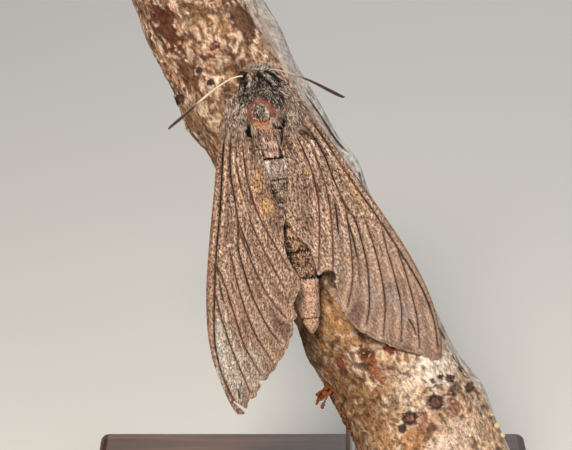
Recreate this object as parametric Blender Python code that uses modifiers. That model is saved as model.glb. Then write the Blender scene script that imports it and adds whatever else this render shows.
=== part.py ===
"""Convolvulus hawk moth at rest on a short cut branch, life size, on a plain display stand.

The moth and the branch are modelled in the viewer's own axes: X to the right, Y up and Z out of
the bark towards the viewer, in millimetres. One empty then leans them back over the stand.
"""

import math

import bmesh
import bpy
import numpy as np
from mathutils import Matrix, Vector
from mathutils.geometry import delaunay_2d_cdt

MM = 0.001
GAP = 0.3

# Stand, in millimetres
VIEW_DOWN_DEG = 20.0
BASE_SIZE = (80.0, 60.0, 6.0)
BASE_EDGE = 1.5
BRANCH_LIFT = 58.5
BRANCH_SHIFT_X = -5.0
ROD_RADIUS = 1.5
ROD_X = {"stand_rod_tall": 12.0, "stand_rod_short": 22.5}
SOCKET_DEPTH = 4.0

# Branch: the middle line from its top cut to its lower cut, with the radius at each point
BRANCH_LINE = [
    (-18.8, 46.0, 10.1),
    (-14.6, 37.5, 10.1),
    (-6.3, 20.8, 10.4),
    (5.0, 0.0, 10.9),
    (16.2, -20.8, 11.2),
    (24.7, -37.5, 11.7),
    (28.6, -45.2, 11.8),
]
BRANCH_RINGS = 30
BRANCH_SIDES = 28
# Knots and peeling scraps: height up the branch, degrees round from the viewer, rise and spread
BARK_BUMPS = [
    (36.0, -80.0, 0.9, 2.6),
    (21.5, -95.0, 1.1, 2.2),
    (29.0, 70.0, 0.7, 3.0),
    (5.5, 82.0, 1.2, 2.4),
    (-18.0, -88.0, 0.8, 2.8),
    (-24.0, 40.0, 0.5, 3.2),
    (-33.0, 88.0, 1.1, 3.0),
    (-38.0, -40.0, 0.7, 3.5),
]

# Body: the line of the back half way through its depth, with half the width and half the depth
HEAD = [
    (-5.0, 27.0, 14.6, 0.5, 0.5),
    (-4.95, 26.6, 14.7, 1.7, 1.5),
    (-4.85, 25.8, 14.8, 2.6, 2.3),
    (-4.7, 24.7, 15.1, 3.15, 2.8),
    (-4.35, 23.6, 15.4, 3.8, 3.25),
    (-4.2, 23.0, 15.6, 4.25, 3.6),
]
THORAX = [
    (-4.1, 22.5, 15.7, 4.6, 3.8),
    (-4.0, 21.9, 15.9, 5.1, 4.3),
    (-3.9, 21.0, 16.1, 5.7, 4.8),
    (-3.85, 19.8, 16.3, 6.3, 5.1),
    (-3.83, 18.4, 16.4, 6.5, 5.2),
    (-3.6, 16.8, 16.3, 6.0, 4.7),
    (-3.2, 15.3, 16.0, 5.0, 4.1),
    (-3.0, 14.4, 15.8, 4.3, 3.8),
]
ABDOMEN = [
    (-2.95, 14.1, 15.7, 4.1, 3.7),
    (-2.2, 10.5, 15.4, 4.2, 3.7),
    (-0.9, 5.0, 15.0, 4.1, 3.5),
    (0.35, 0.0, 14.6, 3.9, 3.3),
    (1.9, -6.0, 13.8, 3.4, 2.9),
    (3.2, -11.0, 12.8, 2.6, 2.4),
    (4.0, -14.5, 11.8, 2.1, 2.0),
    (4.4, -17.0, 10.8, 1.3, 1.3),
    (4.5, -18.2, 10.4, 0.4, 0.4),
]
BODY_LINE = [(x, y) for x, y, *_ in HEAD[:1] + THORAX[3:5] + ABDOMEN[:-1]] + [(9.0, -36.0)]
SEGMENT_ENDS = [14.1, 11.0, 7.5, 3.7, -0.3, -4.5, -8.9, -15.6, -18.2]
ABDOMEN_NODES = {
    "abdomen_front": (0, 3),
    "abdomen_middle": (3, 6),
    "abdomen_rear": (6, 8),
}
# How full a segment is from its fore edge to its hind edge
SEGMENT_FORM = [(0.0, 0.95), (0.14, 0.99), (0.6, 1.02), (0.97, 1.0)]
BODY_SIDES = 26

SCUTELLUM = {"at": (-3.9, 16.9, 20.1), "size": (1.5, 1.2, 0.9)}
COLLAR = {"out": 2.1, "y": 21.4, "z": 19.3, "size": (2.5, 1.0, 1.0), "turn_deg": 14.0}
TEGULA = {"out": 4.8, "y": 18.9, "z": 18.7, "size": (1.8, 3.1, 1.2), "turn_deg": -10.0}

EYE_RADIUS = 1.5
EYE = {"out": 2.15, "y": 24.55, "z": 14.1}
PALP_RADII = [0.5, 0.75, 0.7, 0.35]
PALP = [(0.9, 23.9, 12.2), (0.93, 25.3, 11.8), (0.93, 26.4, 12.3), (0.85, 27.0, 13.5)]
MOUTH_GAP = 0.4

ANTENNAE = {
    "antenna_left": [
        (-6.2, 24.4, 15.6),
        (-7.8, 24.7, 16.2),
        (-10.2, 23.7, 16.2),
        (-13.5, 21.3, 15.4),
        (-16.5, 18.7, 14.2),
        (-19.1, 16.6, 13.2),
        (-19.7, 16.0, 12.9),
    ],
    "antenna_right": [
        (-3.6, 25.2, 15.7),
        (-2.4, 25.85, 16.3),
        (0.7, 25.2, 16.5),
        (4.0, 24.0, 16.0),
        (7.3, 22.4, 15.1),
        (9.2, 21.5, 14.5),
        (9.85, 21.35, 14.3),
    ],
}
ANTENNA_RADII = [0.26, 0.26, 0.25, 0.27, 0.32, 0.26, 0.12]

# Wings: where the fore edge leaves the shoulder and which way it points at rest
WING_ROOT = {"left": (-10.5, 19.2), "right": (1.7, 21.7)}
WING_AIM = {"left": (2.8, -50.5), "right": (23.8, -43.7)}
ROOF_TOP = 21.0
ROOF_FALL = 0.07
ROOF_SLOPE = {"left": 0.6, "right": 0.45}
ROOF_ROUND = 1.5
# Wing outline and veins: millimetres along the wing, then across it towards the inner edge
FOREWING = [
    (0.3, 1.2),
    (2.0, -0.3),
    (6.0, -1.1),
    (13.0, -2.1),
    (21.0, -3.3),
    (29.0, -4.3),
    (36.0, -4.6),
    (42.0, -4.0),
    (47.0, -2.4),
    (50.2, -0.6),
    (50.4, 0.6),
    (48.4, 2.2),
    (44.0, 6.2),
    (39.5, 9.1),
    (35.5, 10.1),
    (32.5, 10.2),
    (30.3, 11.3),
    (28.6, 11.6),
    (25.0, 10.6),
    (21.0, 10.2),
    (17.0, 9.5),
    (12.0, 7.5),
    (8.0, 6.5),
    (5.0, 6.0),
    (2.0, 5.0),
    (0.6, 3.2),
]
HINDWING = [
    (4.0, 2.6),
    (10.0, 0.2),
    (18.0, -1.2),
    (26.0, -1.6),
    (31.0, -0.6),
    (33.3, 1.8),
    (31.5, 4.0),
    (27.0, 4.4),
    (20.0, 3.5),
    (12.0, 2.7),
    (6.0, 3.5),
]
FOREWING_VEINS = {
    "subcosta": [
        (3.0, 0.2),
        (9.0, -0.5),
        (17.0, -1.4),
        (24.0, -2.4),
        (30.0, -3.0),
        (38.0, -3.5),
        (44.0, -2.7),
        (48.6, -0.8),
    ],
    "radius": [(30.5, -3.0), (34.5, -2.2), (39.0, -1.1), (43.0, 0.2), (47.0, 1.9)],
    "media_fore": [(25.5, -2.5), (28.5, -1.5), (34.0, -0.1), (39.5, 1.4), (44.6, 4.1)],
    "media_hind": [(23.4, -0.2), (28.6, 0.7), (33.4, 1.9), (38.0, 3.6), (42.2, 6.1)],
    "cell_end": [(22.9, 1.35), (23.4, -0.2), (25.5, -2.5)],
    "cubital_stem": [
        (4.0, 1.3),
        (10.0, 0.7),
        (15.0, 1.2),
        (19.5, 1.6),
        (22.9, 1.3),
        (27.0, 2.1),
        (31.0, 3.2),
        (36.5, 5.7),
        (39.2, 7.7),
    ],
    "cubitus": [(20.0, 1.6), (23.0, 2.6), (27.0, 4.1), (31.5, 6.2), (35.0, 8.9)],
    "fold": [(9.0, 1.8), (15.0, 2.7), (20.0, 4.2), (25.0, 6.4), (30.4, 9.2)],
    "anal": [(5.0, 3.2), (9.0, 3.3), (13.0, 3.8), (18.0, 5.3), (23.0, 7.8), (27.4, 10.3)],
}
HINDWING_VEINS = {
    "fore": [(6.5, 2.4), (12.0, 1.1), (20.0, 0.1), (29.5, 0.3)],
    "middle": [(6.5, 2.9), (13.0, 1.9), (21.0, 1.4), (31.0, 2.1)],
    "hind": [(10.5, 2.6), (20.0, 2.5), (28.0, 3.2)],
}
# How far the folded wing's fore and inner parts spread as seen from above its own side
FORE_SPREAD = {"left": 1.05, "right": 0.88}
INNER_SPREAD = {"left": 0.95, "right": 1.05}
# Worn places: a split by the left wing's tip and a bite out of the right wing's hind corner
TEARS = {
    "left": [(51.0, 1.0), (48.3, -1.0), (49.6, 1.7)],
    "right": [(32.0, 8.4), (28.7, 8.7), (28.3, 9.6), (29.3, 10.2), (32.0, 11.0)],
}
WORN_FROM = 30.0
WORN_DEPTH = 0.16
TEAR_REACH = 2.0
MEMBRANE = 0.5
VEIN_RISE = 0.22
VEIN_HALF_WIDTH = 0.36
VEIN_STEP = 1.8
MARGIN_STEP = 1.3
FIELD_STEP = 2.6
HINDWING_DROP = 1.5
WING_GAP = 0.6

# Legs: each starts in the thorax and ends on the bark, with the radius at each point
LEGS = {
    "leg_fore_left": [(-6.0, 20.6, 13.6), (-8.3, 21.4, 12.6), (-7.8, 22.6, 11.9), (-7.2, 23.8, 0.0)],
    "leg_fore_right": [(-2.2, 21.0, 13.6), (0.3, 21.8, 12.6), (-0.3, 23.0, 11.8), (-1.3, 24.2, 0.0)],
    "leg_mid_left": [(-8.2, 18.0, 13.6), (-10.9, 17.4, 13.2), (-11.0, 15.6, 11.6), (-10.2, 13.4, 0.0)],
    "leg_mid_right": [(0.4, 18.0, 13.8), (3.3, 17.6, 13.8), (4.6, 15.6, 12.0), (4.9, 13.2, 0.0)],
    "leg_hind_left": [(-6.6, 15.8, 13.4), (-9.6, 13.2, 13.4), (-9.0, 9.6, 11.2), (-7.4, 5.6, 0.0)],
    "leg_hind_right": [(0.9, 16.6, 13.4), (4.3, 13.4, 14.2), (6.0, 8.4, 12.9), (7.0, 4.2, 0.0)],
}
LEG_RADII = [0.75, 0.6, 0.45, 0.3]
FOOT_RADIUS = 0.27
FOOT_LENGTH = 2.4
FOOT_CLEAR = 0.25
LEG_STEP = 0.9

MATERIALS = {
    "walnut": ((0.075, 0.045, 0.03), 0.55, 0.0),
    "steel": ((0.55, 0.55, 0.56), 0.3, 1.0),
    "bark": ((0.42, 0.3, 0.2), 0.85, 0.0),
    "grey_down": ((0.11, 0.09, 0.08), 0.9, 0.0),
    "brown_down": ((0.2, 0.13, 0.1), 0.9, 0.0),
    "wing": ((0.25, 0.18, 0.14), 0.8, 0.0),
    "hindwing": ((0.3, 0.24, 0.2), 0.8, 0.0),
    "eye": ((0.03, 0.02, 0.02), 0.15, 0.0),
    "antenna": ((0.45, 0.36, 0.3), 0.7, 0.0),
    "leg": ((0.16, 0.11, 0.09), 0.75, 0.0),
}


def clear_scene():
    for obj in list(bpy.data.objects):
        bpy.data.objects.remove(obj)


def collection(name):
    made = bpy.data.collections.new(name)
    bpy.context.scene.collection.children.link(made)
    return made


def material(name):
    found = bpy.data.materials.get(name)
    if found:
        return found
    colour, roughness, metallic = MATERIALS[name]
    made = bpy.data.materials.new(name)
    made.use_nodes = True
    shader = made.node_tree.nodes["Principled BSDF"]
    shader.inputs["Base Color"].default_value = (*colour, 1.0)
    shader.inputs["Roughness"].default_value = roughness
    shader.inputs["Metallic"].default_value = metallic
    return made


def smooth_path(points, count):
    """Evenly spaced points along a smooth curve through the given ones, in any number of dimensions."""
    fixed = np.array(points, float)
    ends = np.vstack([2 * fixed[0] - fixed[1], fixed, 2 * fixed[-1] - fixed[-2]])
    dense = []
    for before, start, end, after in zip(ends, ends[1:], ends[2:], ends[3:]):
        for t in np.linspace(0.0, 1.0, 24, endpoint=False):
            pull = -t + 2 * t**2 - t**3, 2 - 5 * t**2 + 3 * t**3, t + 4 * t**2 - 3 * t**3, t**3 - t**2
            dense.append(0.5 * (pull[0] * before + pull[1] * start + pull[2] * end + pull[3] * after))
    dense = np.array(dense + [fixed[-1]])
    along = np.concatenate([[0.0], np.cumsum(np.linalg.norm(np.diff(dense, axis=0), axis=1))])
    even = np.linspace(0.0, along[-1], count)
    return np.array([np.interp(even, along, column) for column in dense.T]).T


def at_height(stations, y):
    """The smooth line through the stations, read at one height."""
    path = smooth_path(stations, 200)[::-1]
    return np.array([np.interp(y, path[:, 1], column) for column in path.T])


def add_object(name, mesh, group, look):
    obj = bpy.data.objects.new(name, mesh)
    group.objects.link(obj)
    obj.data.materials.clear()
    obj.data.materials.append(material(look))
    return obj


def object_from_bmesh(name, shape, group, look, face_out=False):
    """Turns a shape worked out in millimetres into an object in metres."""
    bmesh.ops.scale(shape, vec=(MM, MM, MM), verts=shape.verts)
    bmesh.ops.recalc_face_normals(shape, faces=shape.faces)
    if face_out and sum(face.normal.z for face in shape.faces) < 0:
        bmesh.ops.reverse_faces(shape, faces=shape.faces)
    mesh = bpy.data.meshes.new(name)
    shape.to_mesh(mesh)
    shape.free()
    return add_object(name, mesh, group, look)


def loft(name, rings, group, look):
    """A closed skin over rings of equal point count, flat at both ends."""
    shape = bmesh.new()
    loops = [[shape.verts.new(point) for point in ring] for ring in rings]
    for lower, upper in zip(loops, loops[1:]):
        for index in range(len(lower)):
            after = (index + 1) % len(lower)
            shape.faces.new((lower[index], lower[after], upper[after], upper[index]))
    shape.faces.new(loops[0])
    shape.faces.new(loops[-1])
    return object_from_bmesh(name, shape, group, look)


def ellipsoid(name, centre, size, turn_deg, group, look, parts=(20, 12)):
    shape = bmesh.new()
    bmesh.ops.create_uvsphere(shape, u_segments=parts[0], v_segments=parts[1], radius=1.0)
    bmesh.ops.scale(shape, vec=size, verts=shape.verts)
    bmesh.ops.rotate(shape, matrix=Matrix.Rotation(math.radians(turn_deg), 3, "Z"), verts=shape.verts)
    bmesh.ops.translate(shape, vec=centre, verts=shape.verts)
    return object_from_bmesh(name, shape, group, look)


def tube(name, points, radii, group, look):
    """A round wire with a radius at each point, made a closed mesh."""
    data = bpy.data.curves.new(name, "CURVE")
    data.dimensions = "3D"
    data.bevel_depth = MM
    data.bevel_resolution = 2
    data.use_fill_caps = True
    line = data.splines.new("POLY")
    line.points.add(len(points) - 1)
    for point, place, radius in zip(line.points, points, radii):
        point.co = (place[0] * MM, place[1] * MM, place[2] * MM, 1.0)
        point.radius = radius
    wire = bpy.data.objects.new(name + "_wire", data)
    group.objects.link(wire)
    bpy.context.view_layer.update()
    graph = bpy.context.evaluated_depsgraph_get()
    mesh = bpy.data.meshes.new_from_object(wire.evaluated_get(graph))
    bpy.data.objects.remove(wire)
    shape = bmesh.new()
    shape.from_mesh(mesh)
    bmesh.ops.remove_doubles(shape, verts=shape.verts, dist=0.00001)
    bmesh.ops.recalc_face_normals(shape, faces=shape.faces)
    shape.to_mesh(mesh)
    shape.free()
    mesh.name = name
    return add_object(name, mesh, group, look)


def apply_modifiers(obj):
    bpy.context.view_layer.update()
    graph = bpy.context.evaluated_depsgraph_get()
    done = bpy.data.meshes.new_from_object(obj.evaluated_get(graph))
    obj.modifiers.clear()
    obj.data = done


def keep_largest(obj):
    """Leaves only the biggest closed surface of an object."""
    shape = bmesh.new()
    shape.from_mesh(obj.data)
    left = set(shape.faces)
    islands = []
    while left:
        island = {left.pop()}
        edge = list(island)
        while edge:
            face = edge.pop()
            for side in face.edges:
                for other in side.link_faces:
                    if other in left:
                        left.remove(other)
                        island.add(other)
                        edge.append(other)
        islands.append(island)
    islands.sort(key=lambda faces: sum(face.calc_area() for face in faces))
    scraps = [face for faces in islands[:-1] for face in faces]
    bmesh.ops.delete(shape, geom=scraps, context="FACES")
    shape.to_mesh(obj.data)
    shape.free()


def cut(obj, cutter, solver="EXACT"):
    boolean = obj.modifiers.new("cut", "BOOLEAN")
    boolean.operation = "DIFFERENCE"
    boolean.solver = solver
    boolean.object = cutter
    apply_modifiers(obj)
    keep_largest(obj)


def join(obj, pieces, scratch):
    """Unites the pieces with the object and removes them."""
    parts = bpy.data.collections.new(obj.name + "_pieces")
    scratch.children.link(parts)
    for piece in pieces:
        for home in list(piece.users_collection):
            home.objects.unlink(piece)
        parts.objects.link(piece)
    boolean = obj.modifiers.new("join", "BOOLEAN")
    boolean.operation = "UNION"
    boolean.operand_type = "COLLECTION"
    boolean.collection = parts
    apply_modifiers(obj)
    for piece in pieces:
        bpy.data.objects.remove(piece)
    bpy.data.collections.remove(parts)
    keep_largest(obj)


def swollen(obj, by, scratch):
    """A copy of the object grown outwards, used to cut a gap round it."""
    shape = bmesh.new()
    shape.from_mesh(obj.data)
    shape.normal_update()
    for vert in shape.verts:
        vert.co += vert.normal * by * MM
    mesh = bpy.data.meshes.new(obj.name + "_clearance")
    shape.to_mesh(mesh)
    shape.free()
    copy = bpy.data.objects.new(obj.name + "_clearance", mesh)
    copy.hide_render = True
    copy.display_type = "WIRE"
    scratch.objects.link(copy)
    return copy


def branch_at(y):
    """Centre, radius, upward direction and rightward direction of the branch at a height."""
    x, _, radius = at_height(BRANCH_LINE, y)
    above = at_height(BRANCH_LINE, y + 0.5)
    below = at_height(BRANCH_LINE, y - 0.5)
    up = np.array([above[0] - below[0], above[1] - below[1], 0.0])
    up /= np.linalg.norm(up)
    right = np.array([up[1], -up[0], 0.0])
    return np.array([x, y, 0.0]), radius, up, right


def bark_radius(radius, y, angle):
    rise = 0.16 * math.sin(3 * angle + 0.21 * y) + 0.12 * math.sin(5 * angle - 0.37 * y)
    for height, degrees, lift, spread in BARK_BUMPS:
        around = (angle - math.radians(degrees) + math.pi) % (2 * math.pi) - math.pi
        away = (y - height) ** 2 + (radius * around) ** 2
        rise += lift * math.exp(-away / (2 * spread**2))
    return radius + rise


def over_bark(x, y, clear):
    """The point on the viewer's side of the branch that lies a given distance clear of the bark."""
    centre, radius, _, right = branch_at(y)
    side = (x - centre[0]) * right[0]
    angle = math.asin(max(-1.0, min(1.0, side / radius)))
    full = bark_radius(radius, y, angle) + clear
    return (x, y, math.sqrt(max(0.0, full**2 - side**2)))


def make_branch(group):
    heights = np.linspace(BRANCH_LINE[0][1], BRANCH_LINE[-1][1], BRANCH_RINGS)
    rings = []
    for y in heights:
        centre, radius, _, right = branch_at(y)
        ring = []
        for step in range(BRANCH_SIDES):
            angle = 2 * math.pi * step / BRANCH_SIDES
            reach = bark_radius(radius, y, angle)
            ring.append(centre + reach * (math.sin(angle) * right + math.cos(angle) * np.array([0, 0, 1.0])))
        rings.append(ring)
    return loft("perch_branch", rings, group, "bark")


def body_ring(stations, y, fullness=1.0):
    x, _, z, half_width, half_depth = at_height(stations, y)
    above = at_height(stations, y + 0.2)
    below = at_height(stations, y - 0.2)
    along = np.array([above[0] - below[0], above[1] - below[1], 0.0])
    along /= np.linalg.norm(along)
    right = np.array([along[1], -along[0], 0.0])
    ring = []
    for step in range(BODY_SIDES):
        angle = 2 * math.pi * step / BODY_SIDES
        side = half_width * fullness * math.sin(angle) * right
        ring.append(np.array([x, y, z]) + side + np.array([0, 0, half_depth * fullness * math.cos(angle)]))
    return ring


def make_head(group, scratch):
    heights = [station[1] for station in HEAD]
    head = loft("head", [body_ring(HEAD, y) for y in heights], group, "grey_down")
    eyes = []
    for side, name in ((-1, "eye_left"), (1, "eye_right")):
        x = at_height(HEAD, EYE["y"])[0] + side * EYE["out"]
        centre = (x, EYE["y"], EYE["z"])
        size = [EYE_RADIUS] * 3
        eye = ellipsoid(name, centre, size, 0.0, group, "eye", (24, 14))
        cut(head, swollen(eye, GAP, scratch))
        eyes.append(eye)
    return head, eyes


def make_thorax(group, scratch):
    heights = [station[1] for station in THORAX]
    thorax = loft("thorax", [body_ring(THORAX, y) for y in heights], group, "grey_down")
    pieces = [ellipsoid("scutellum", SCUTELLUM["at"], SCUTELLUM["size"], 0.0, group, "brown_down", (12, 8))]
    middle = at_height(THORAX, TEGULA["y"])[0]
    for side in (-1, 1):
        for plate in (TEGULA, COLLAR):
            centre = (middle + side * plate["out"], plate["y"], plate["z"])
            turn = -side * plate["turn_deg"]
            pieces.append(ellipsoid("plate", centre, plate["size"], turn, group, "grey_down", (16, 10)))
    join(thorax, pieces, scratch)
    return thorax


def make_abdomen(group):
    made = []
    for name, (first, last) in ABDOMEN_NODES.items():
        rings = []
        for fore, hind in zip(SEGMENT_ENDS[first:last], SEGMENT_ENDS[first + 1 : last + 1]):
            for share, fullness in SEGMENT_FORM:
                rings.append(body_ring(ABDOMEN, fore + (hind - fore) * share, fullness))
        if last == len(SEGMENT_ENDS) - 1:
            rings.append(body_ring(ABDOMEN, SEGMENT_ENDS[-1]))
        else:
            rings[-1] = body_ring(ABDOMEN, SEGMENT_ENDS[last] + GAP)
        made.append(loft(name, rings, group, "brown_down"))
    return made


def make_mouthparts(head, group, scratch):
    middle = at_height(HEAD, EYE["y"])[0]
    clearance = swollen(head, MOUTH_GAP, scratch)
    for side, name in ((-1, "palp_left"), (1, "palp_right")):
        places = [(middle + side * out, y, z) for out, y, z in PALP]
        path = smooth_path([(*place, radius) for place, radius in zip(places, PALP_RADII)], 9)
        palp = tube(name, path[:, :3], path[:, 3], group, "grey_down")
        cut(palp, clearance)


def make_antennae(head, group, scratch):
    clearance = swollen(head, GAP, scratch)
    for name, places in ANTENNAE.items():
        path = smooth_path([(*place, radius) for place, radius in zip(places, ANTENNA_RADII)], 20)
        antenna = tube(name, path[:, :3], path[:, 3], group, "antenna")
        cut(antenna, clearance)


def make_legs(thorax, group, scratch):
    clearance = swollen(thorax, GAP, scratch)
    for name, places in LEGS.items():
        foot_x, foot_y, _ = places[-1]
        clear = LEG_RADII[-1] + GAP + FOOT_CLEAR
        foot = over_bark(foot_x, foot_y, clear)
        way = np.array(foot[:2]) - np.array(places[-2][:2])
        way /= np.linalg.norm(way)
        middle = np.array(foot[:2]) + way * FOOT_LENGTH / 2
        toe = np.array(foot[:2]) + way * FOOT_LENGTH
        route = [*places[:-1], foot, over_bark(*middle, clear), over_bark(*toe, clear)]
        radii = [*LEG_RADII, FOOT_RADIUS, FOOT_RADIUS]
        length = sum(math.dist(a, b) for a, b in zip(route, route[1:]))
        path = smooth_path([(*place, r) for place, r in zip(route, radii)], int(length / LEG_STEP))
        leg = tube(name, path[:, :3], path[:, 3], group, "leg")
        cut(leg, clearance)


def roof_height(side, x, y):
    """Height of the folded wings over a spot: highest over the back and falling to both sides."""
    line = at_height(BODY_LINE, y)
    above = at_height(BODY_LINE, y + 0.5)
    below = at_height(BODY_LINE, y - 0.5)
    lean = math.atan2(above[0] - below[0], above[1] - below[1])
    away = (x - line[0]) * math.cos(lean)
    behind = THORAX[4][1] - y
    across = math.hypot(away, ROOF_ROUND) - ROOF_ROUND
    return ROOF_TOP - ROOF_FALL * behind - ROOF_SLOPE[side] * across


def wing_place(side, along, across, drop):
    """The spot over the branch where a point of the flat wing lies once the wing is folded."""
    across *= FORE_SPREAD[side] if across < 0.0 else INNER_SPREAD[side]
    root = np.array(WING_ROOT[side])
    aim = np.array(WING_AIM[side])
    aim = aim / np.linalg.norm(aim)
    inward = np.array([-aim[1], aim[0]]) if side == "left" else np.array([aim[1], -aim[0]])
    x, y = root + aim * along + inward * across
    return x, y, roof_height(side, x, y) - drop


def nearest(point, lines):
    """Distance from a point to the closest of some broken lines."""
    best = 1e9
    for line in lines:
        for start, end in zip(line, line[1:]):
            span = end - start
            share = np.clip(np.dot(point - start, span) / np.dot(span, span), 0.0, 1.0)
            best = min(best, np.linalg.norm(point - start - share * span))
    return best


def inside(point, outline):
    """Whether a point lies inside a closed outline, by counting edges to its right."""
    within = False
    for (ax, ay), (bx, by) in zip(outline, np.roll(outline, -1, axis=0)):
        if (ay > point[1]) != (by > point[1]) and point[0] < ax + (point[1] - ay) * (bx - ax) / (by - ay):
            within = not within
    return within


def wing_net(corners, veins):
    """Triangles over a wing outline, with edges along each vein's crest and both its feet."""
    rim = smooth_path([*corners, corners[0]], 400)
    length = np.linalg.norm(np.diff(rim, axis=0), axis=1).sum()
    rim = smooth_path([*corners, corners[0]], int(length / MARGIN_STEP))[:-1]
    middle = rim.mean(axis=0)
    for index, spot in enumerate(rim):
        if spot[0] > WORN_FROM and spot[1] > 0.0:
            wear = WORN_DEPTH * (math.sin(2.1 * index) + math.sin(4.7 * index + 1.0))
            rim[index] += wear * (middle - spot) / np.linalg.norm(middle - spot)
    crests = []
    for line in veins.values():
        span = np.linalg.norm(np.diff(np.array(line), axis=0), axis=1).sum()
        crests.append(smooth_path(line, max(3, int(span / VEIN_STEP))))
    points = [Vector(point) for point in rim]
    edges = [(index, (index + 1) % len(rim)) for index in range(len(rim))]
    feet = []
    for crest in crests:
        across = np.gradient(crest, axis=0)
        across = np.stack([-across[:, 1], across[:, 0]], axis=1)
        across /= np.linalg.norm(across, axis=1)[:, None]
        feet += [crest + across * VEIN_HALF_WIDTH, crest - across * VEIN_HALF_WIDTH]
    for line in crests + feet:
        first = len(points)
        points += [Vector(point) for point in line]
        edges += [(first + index, first + index + 1) for index in range(len(line) - 1)]
    low = rim.min(axis=0)
    high = rim.max(axis=0)
    for row, along in enumerate(np.arange(low[0], high[0], FIELD_STEP)):
        for across in np.arange(low[1] + (row % 2) * FIELD_STEP / 2, high[1], FIELD_STEP):
            spot = np.array([along, across])
            if inside(spot, rim) and nearest(spot, [*crests, np.vstack([rim, rim[:1]])]) > FIELD_STEP / 2:
                points.append(Vector(spot))
    verts, _, faces, *_ = delaunay_2d_cdt(points, edges, [], 1, 0.0001)
    return [np.array(vert) for vert in verts], faces, crests


def make_wing(name, side, corners, veins, drop, group, look):
    flat, faces, crests = wing_net(corners, veins)
    shape = bmesh.new()
    verts = [shape.verts.new(wing_place(side, *vert, drop)) for vert in flat]
    for face in faces:
        shape.faces.new([verts[index] for index in face])
    wing = object_from_bmesh(name, shape, group, look, face_out=True)
    ridge = wing.vertex_groups.new(name="veins")
    for index, vert in enumerate(flat):
        share = max(0.0, 1.0 - nearest(vert, crests) / VEIN_HALF_WIDTH) if crests else 0.0
        ridge.add([index], share, "REPLACE")
    solidify = wing.modifiers.new("membrane", "SOLIDIFY")
    full = MEMBRANE + 2 * VEIN_RISE
    solidify.thickness = full * MM
    solidify.offset = 0.0
    solidify.vertex_group = "veins"
    solidify.thickness_vertex_group = MEMBRANE / full
    apply_modifiers(wing)
    return wing


def tear(wing, side, corners, scratch):
    """Cuts a worn gap right through a wing."""
    low = [wing_place(side, *corner, TEAR_REACH) for corner in corners]
    high = [wing_place(side, *corner, -TEAR_REACH) for corner in corners]
    cutter = loft(wing.name + "_tear", [low, high], scratch, "wing")
    cutter.hide_render = True
    cutter.display_type = "WIRE"
    cut(wing, cutter, "MANIFOLD")


def make_wings(thorax, group, scratch):
    clearance = swollen(thorax, WING_GAP, scratch)
    for side in ("left", "right"):
        fore = make_wing("forewing_" + side, side, FOREWING, FOREWING_VEINS, 0.0, group, "wing")
        cut(fore, clearance, "MANIFOLD")
        tear(fore, side, TEARS[side], scratch)
        hind = make_wing("hindwing_" + side, side, HINDWING, HINDWING_VEINS, HINDWING_DROP, group, "hindwing")
        cut(hind, clearance, "MANIFOLD")


def make_stand(branch, frame, group, scratch):
    """A flat base and two upright rods that reach into sockets in the branch."""
    bpy.ops.mesh.primitive_cube_add(size=1.0)
    base = bpy.context.active_object
    base.name = "stand_base"
    for home in list(base.users_collection):
        home.objects.unlink(base)
    group.objects.link(base)
    base.data.transform(Matrix.Diagonal((*[side * MM for side in BASE_SIZE], 1.0)))
    base.location = (0.0, 0.0, BASE_SIZE[2] / 2 * MM)
    base.data.materials.append(material("walnut"))
    bevel = base.modifiers.new("rounded_edges", "BEVEL")
    bevel.width = BASE_EDGE * MM
    bevel.segments = 3
    apply_modifiers(base)
    heights = np.linspace(BRANCH_LINE[0][1], BRANCH_LINE[-1][1], 400)
    middles = np.array([branch_at(y)[0][0] for y in heights])
    for name, x in ROD_X.items():
        y = float(np.interp(x, middles, heights))
        centre, radius, up, _ = branch_at(y)
        foot = frame @ Vector(centre * MM)
        rise = (frame.to_3x3() @ Vector(up)).z
        under = foot.z / MM - radius / math.sqrt(1 - rise**2)
        socket_top = under + SOCKET_DEPTH
        socket_floor = BASE_SIZE[2] - SOCKET_DEPTH
        spot = (foot.x / MM, foot.y / MM)
        socket = rod_between("socket", spot, under - 12.0, socket_top, ROD_RADIUS + GAP, scratch)
        cut(branch, socket)
        bpy.data.objects.remove(socket)
        hole = rod_between("hole", spot, socket_floor, BASE_SIZE[2] + 5.0, ROD_RADIUS + GAP, scratch)
        cut(base, hole)
        bpy.data.objects.remove(hole)
        rod_between(name, spot, socket_floor + GAP, socket_top - GAP, ROD_RADIUS, group)


def rod_between(name, spot, low, high, radius, group):
    bpy.ops.mesh.primitive_cylinder_add(vertices=24, radius=radius * MM, depth=(high - low) * MM)
    rod = bpy.context.active_object
    rod.name = name
    for home in list(rod.users_collection):
        home.objects.unlink(rod)
    group.objects.link(rod)
    rod.location = (spot[0] * MM, spot[1] * MM, (low + high) / 2 * MM)
    rod.data.materials.append(material("steel"))
    return rod


def main():
    clear_scene()
    parts = collection("convolvulus_hawk_moth")
    cutters = collection("cutters")
    lean = bpy.data.objects.new("lean", None)
    parts.objects.link(lean)
    branch = make_branch(parts)
    head, _ = make_head(parts, cutters)
    thorax = make_thorax(parts, cutters)
    make_abdomen(parts)
    make_mouthparts(head, parts, cutters)
    make_antennae(head, parts, cutters)
    make_legs(thorax, parts, cutters)
    make_wings(thorax, parts, cutters)
    lean.location = (BRANCH_SHIFT_X * MM, 0.0, BRANCH_LIFT * MM)
    lean.rotation_euler = (math.radians(90.0 - VIEW_DOWN_DEG), 0.0, 0.0)
    for obj in list(parts.objects):
        if obj is not lean:
            obj.parent = lean
    bpy.context.view_layer.update()
    make_stand(branch, lean.matrix_world, parts, cutters)
    for obj in list(cutters.objects):
        obj.hide_render = True


main()
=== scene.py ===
import math

import bpy
import numpy as np
from mathutils import Matrix, Vector, noise
from mathutils.bvhtree import BVHTree


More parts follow.
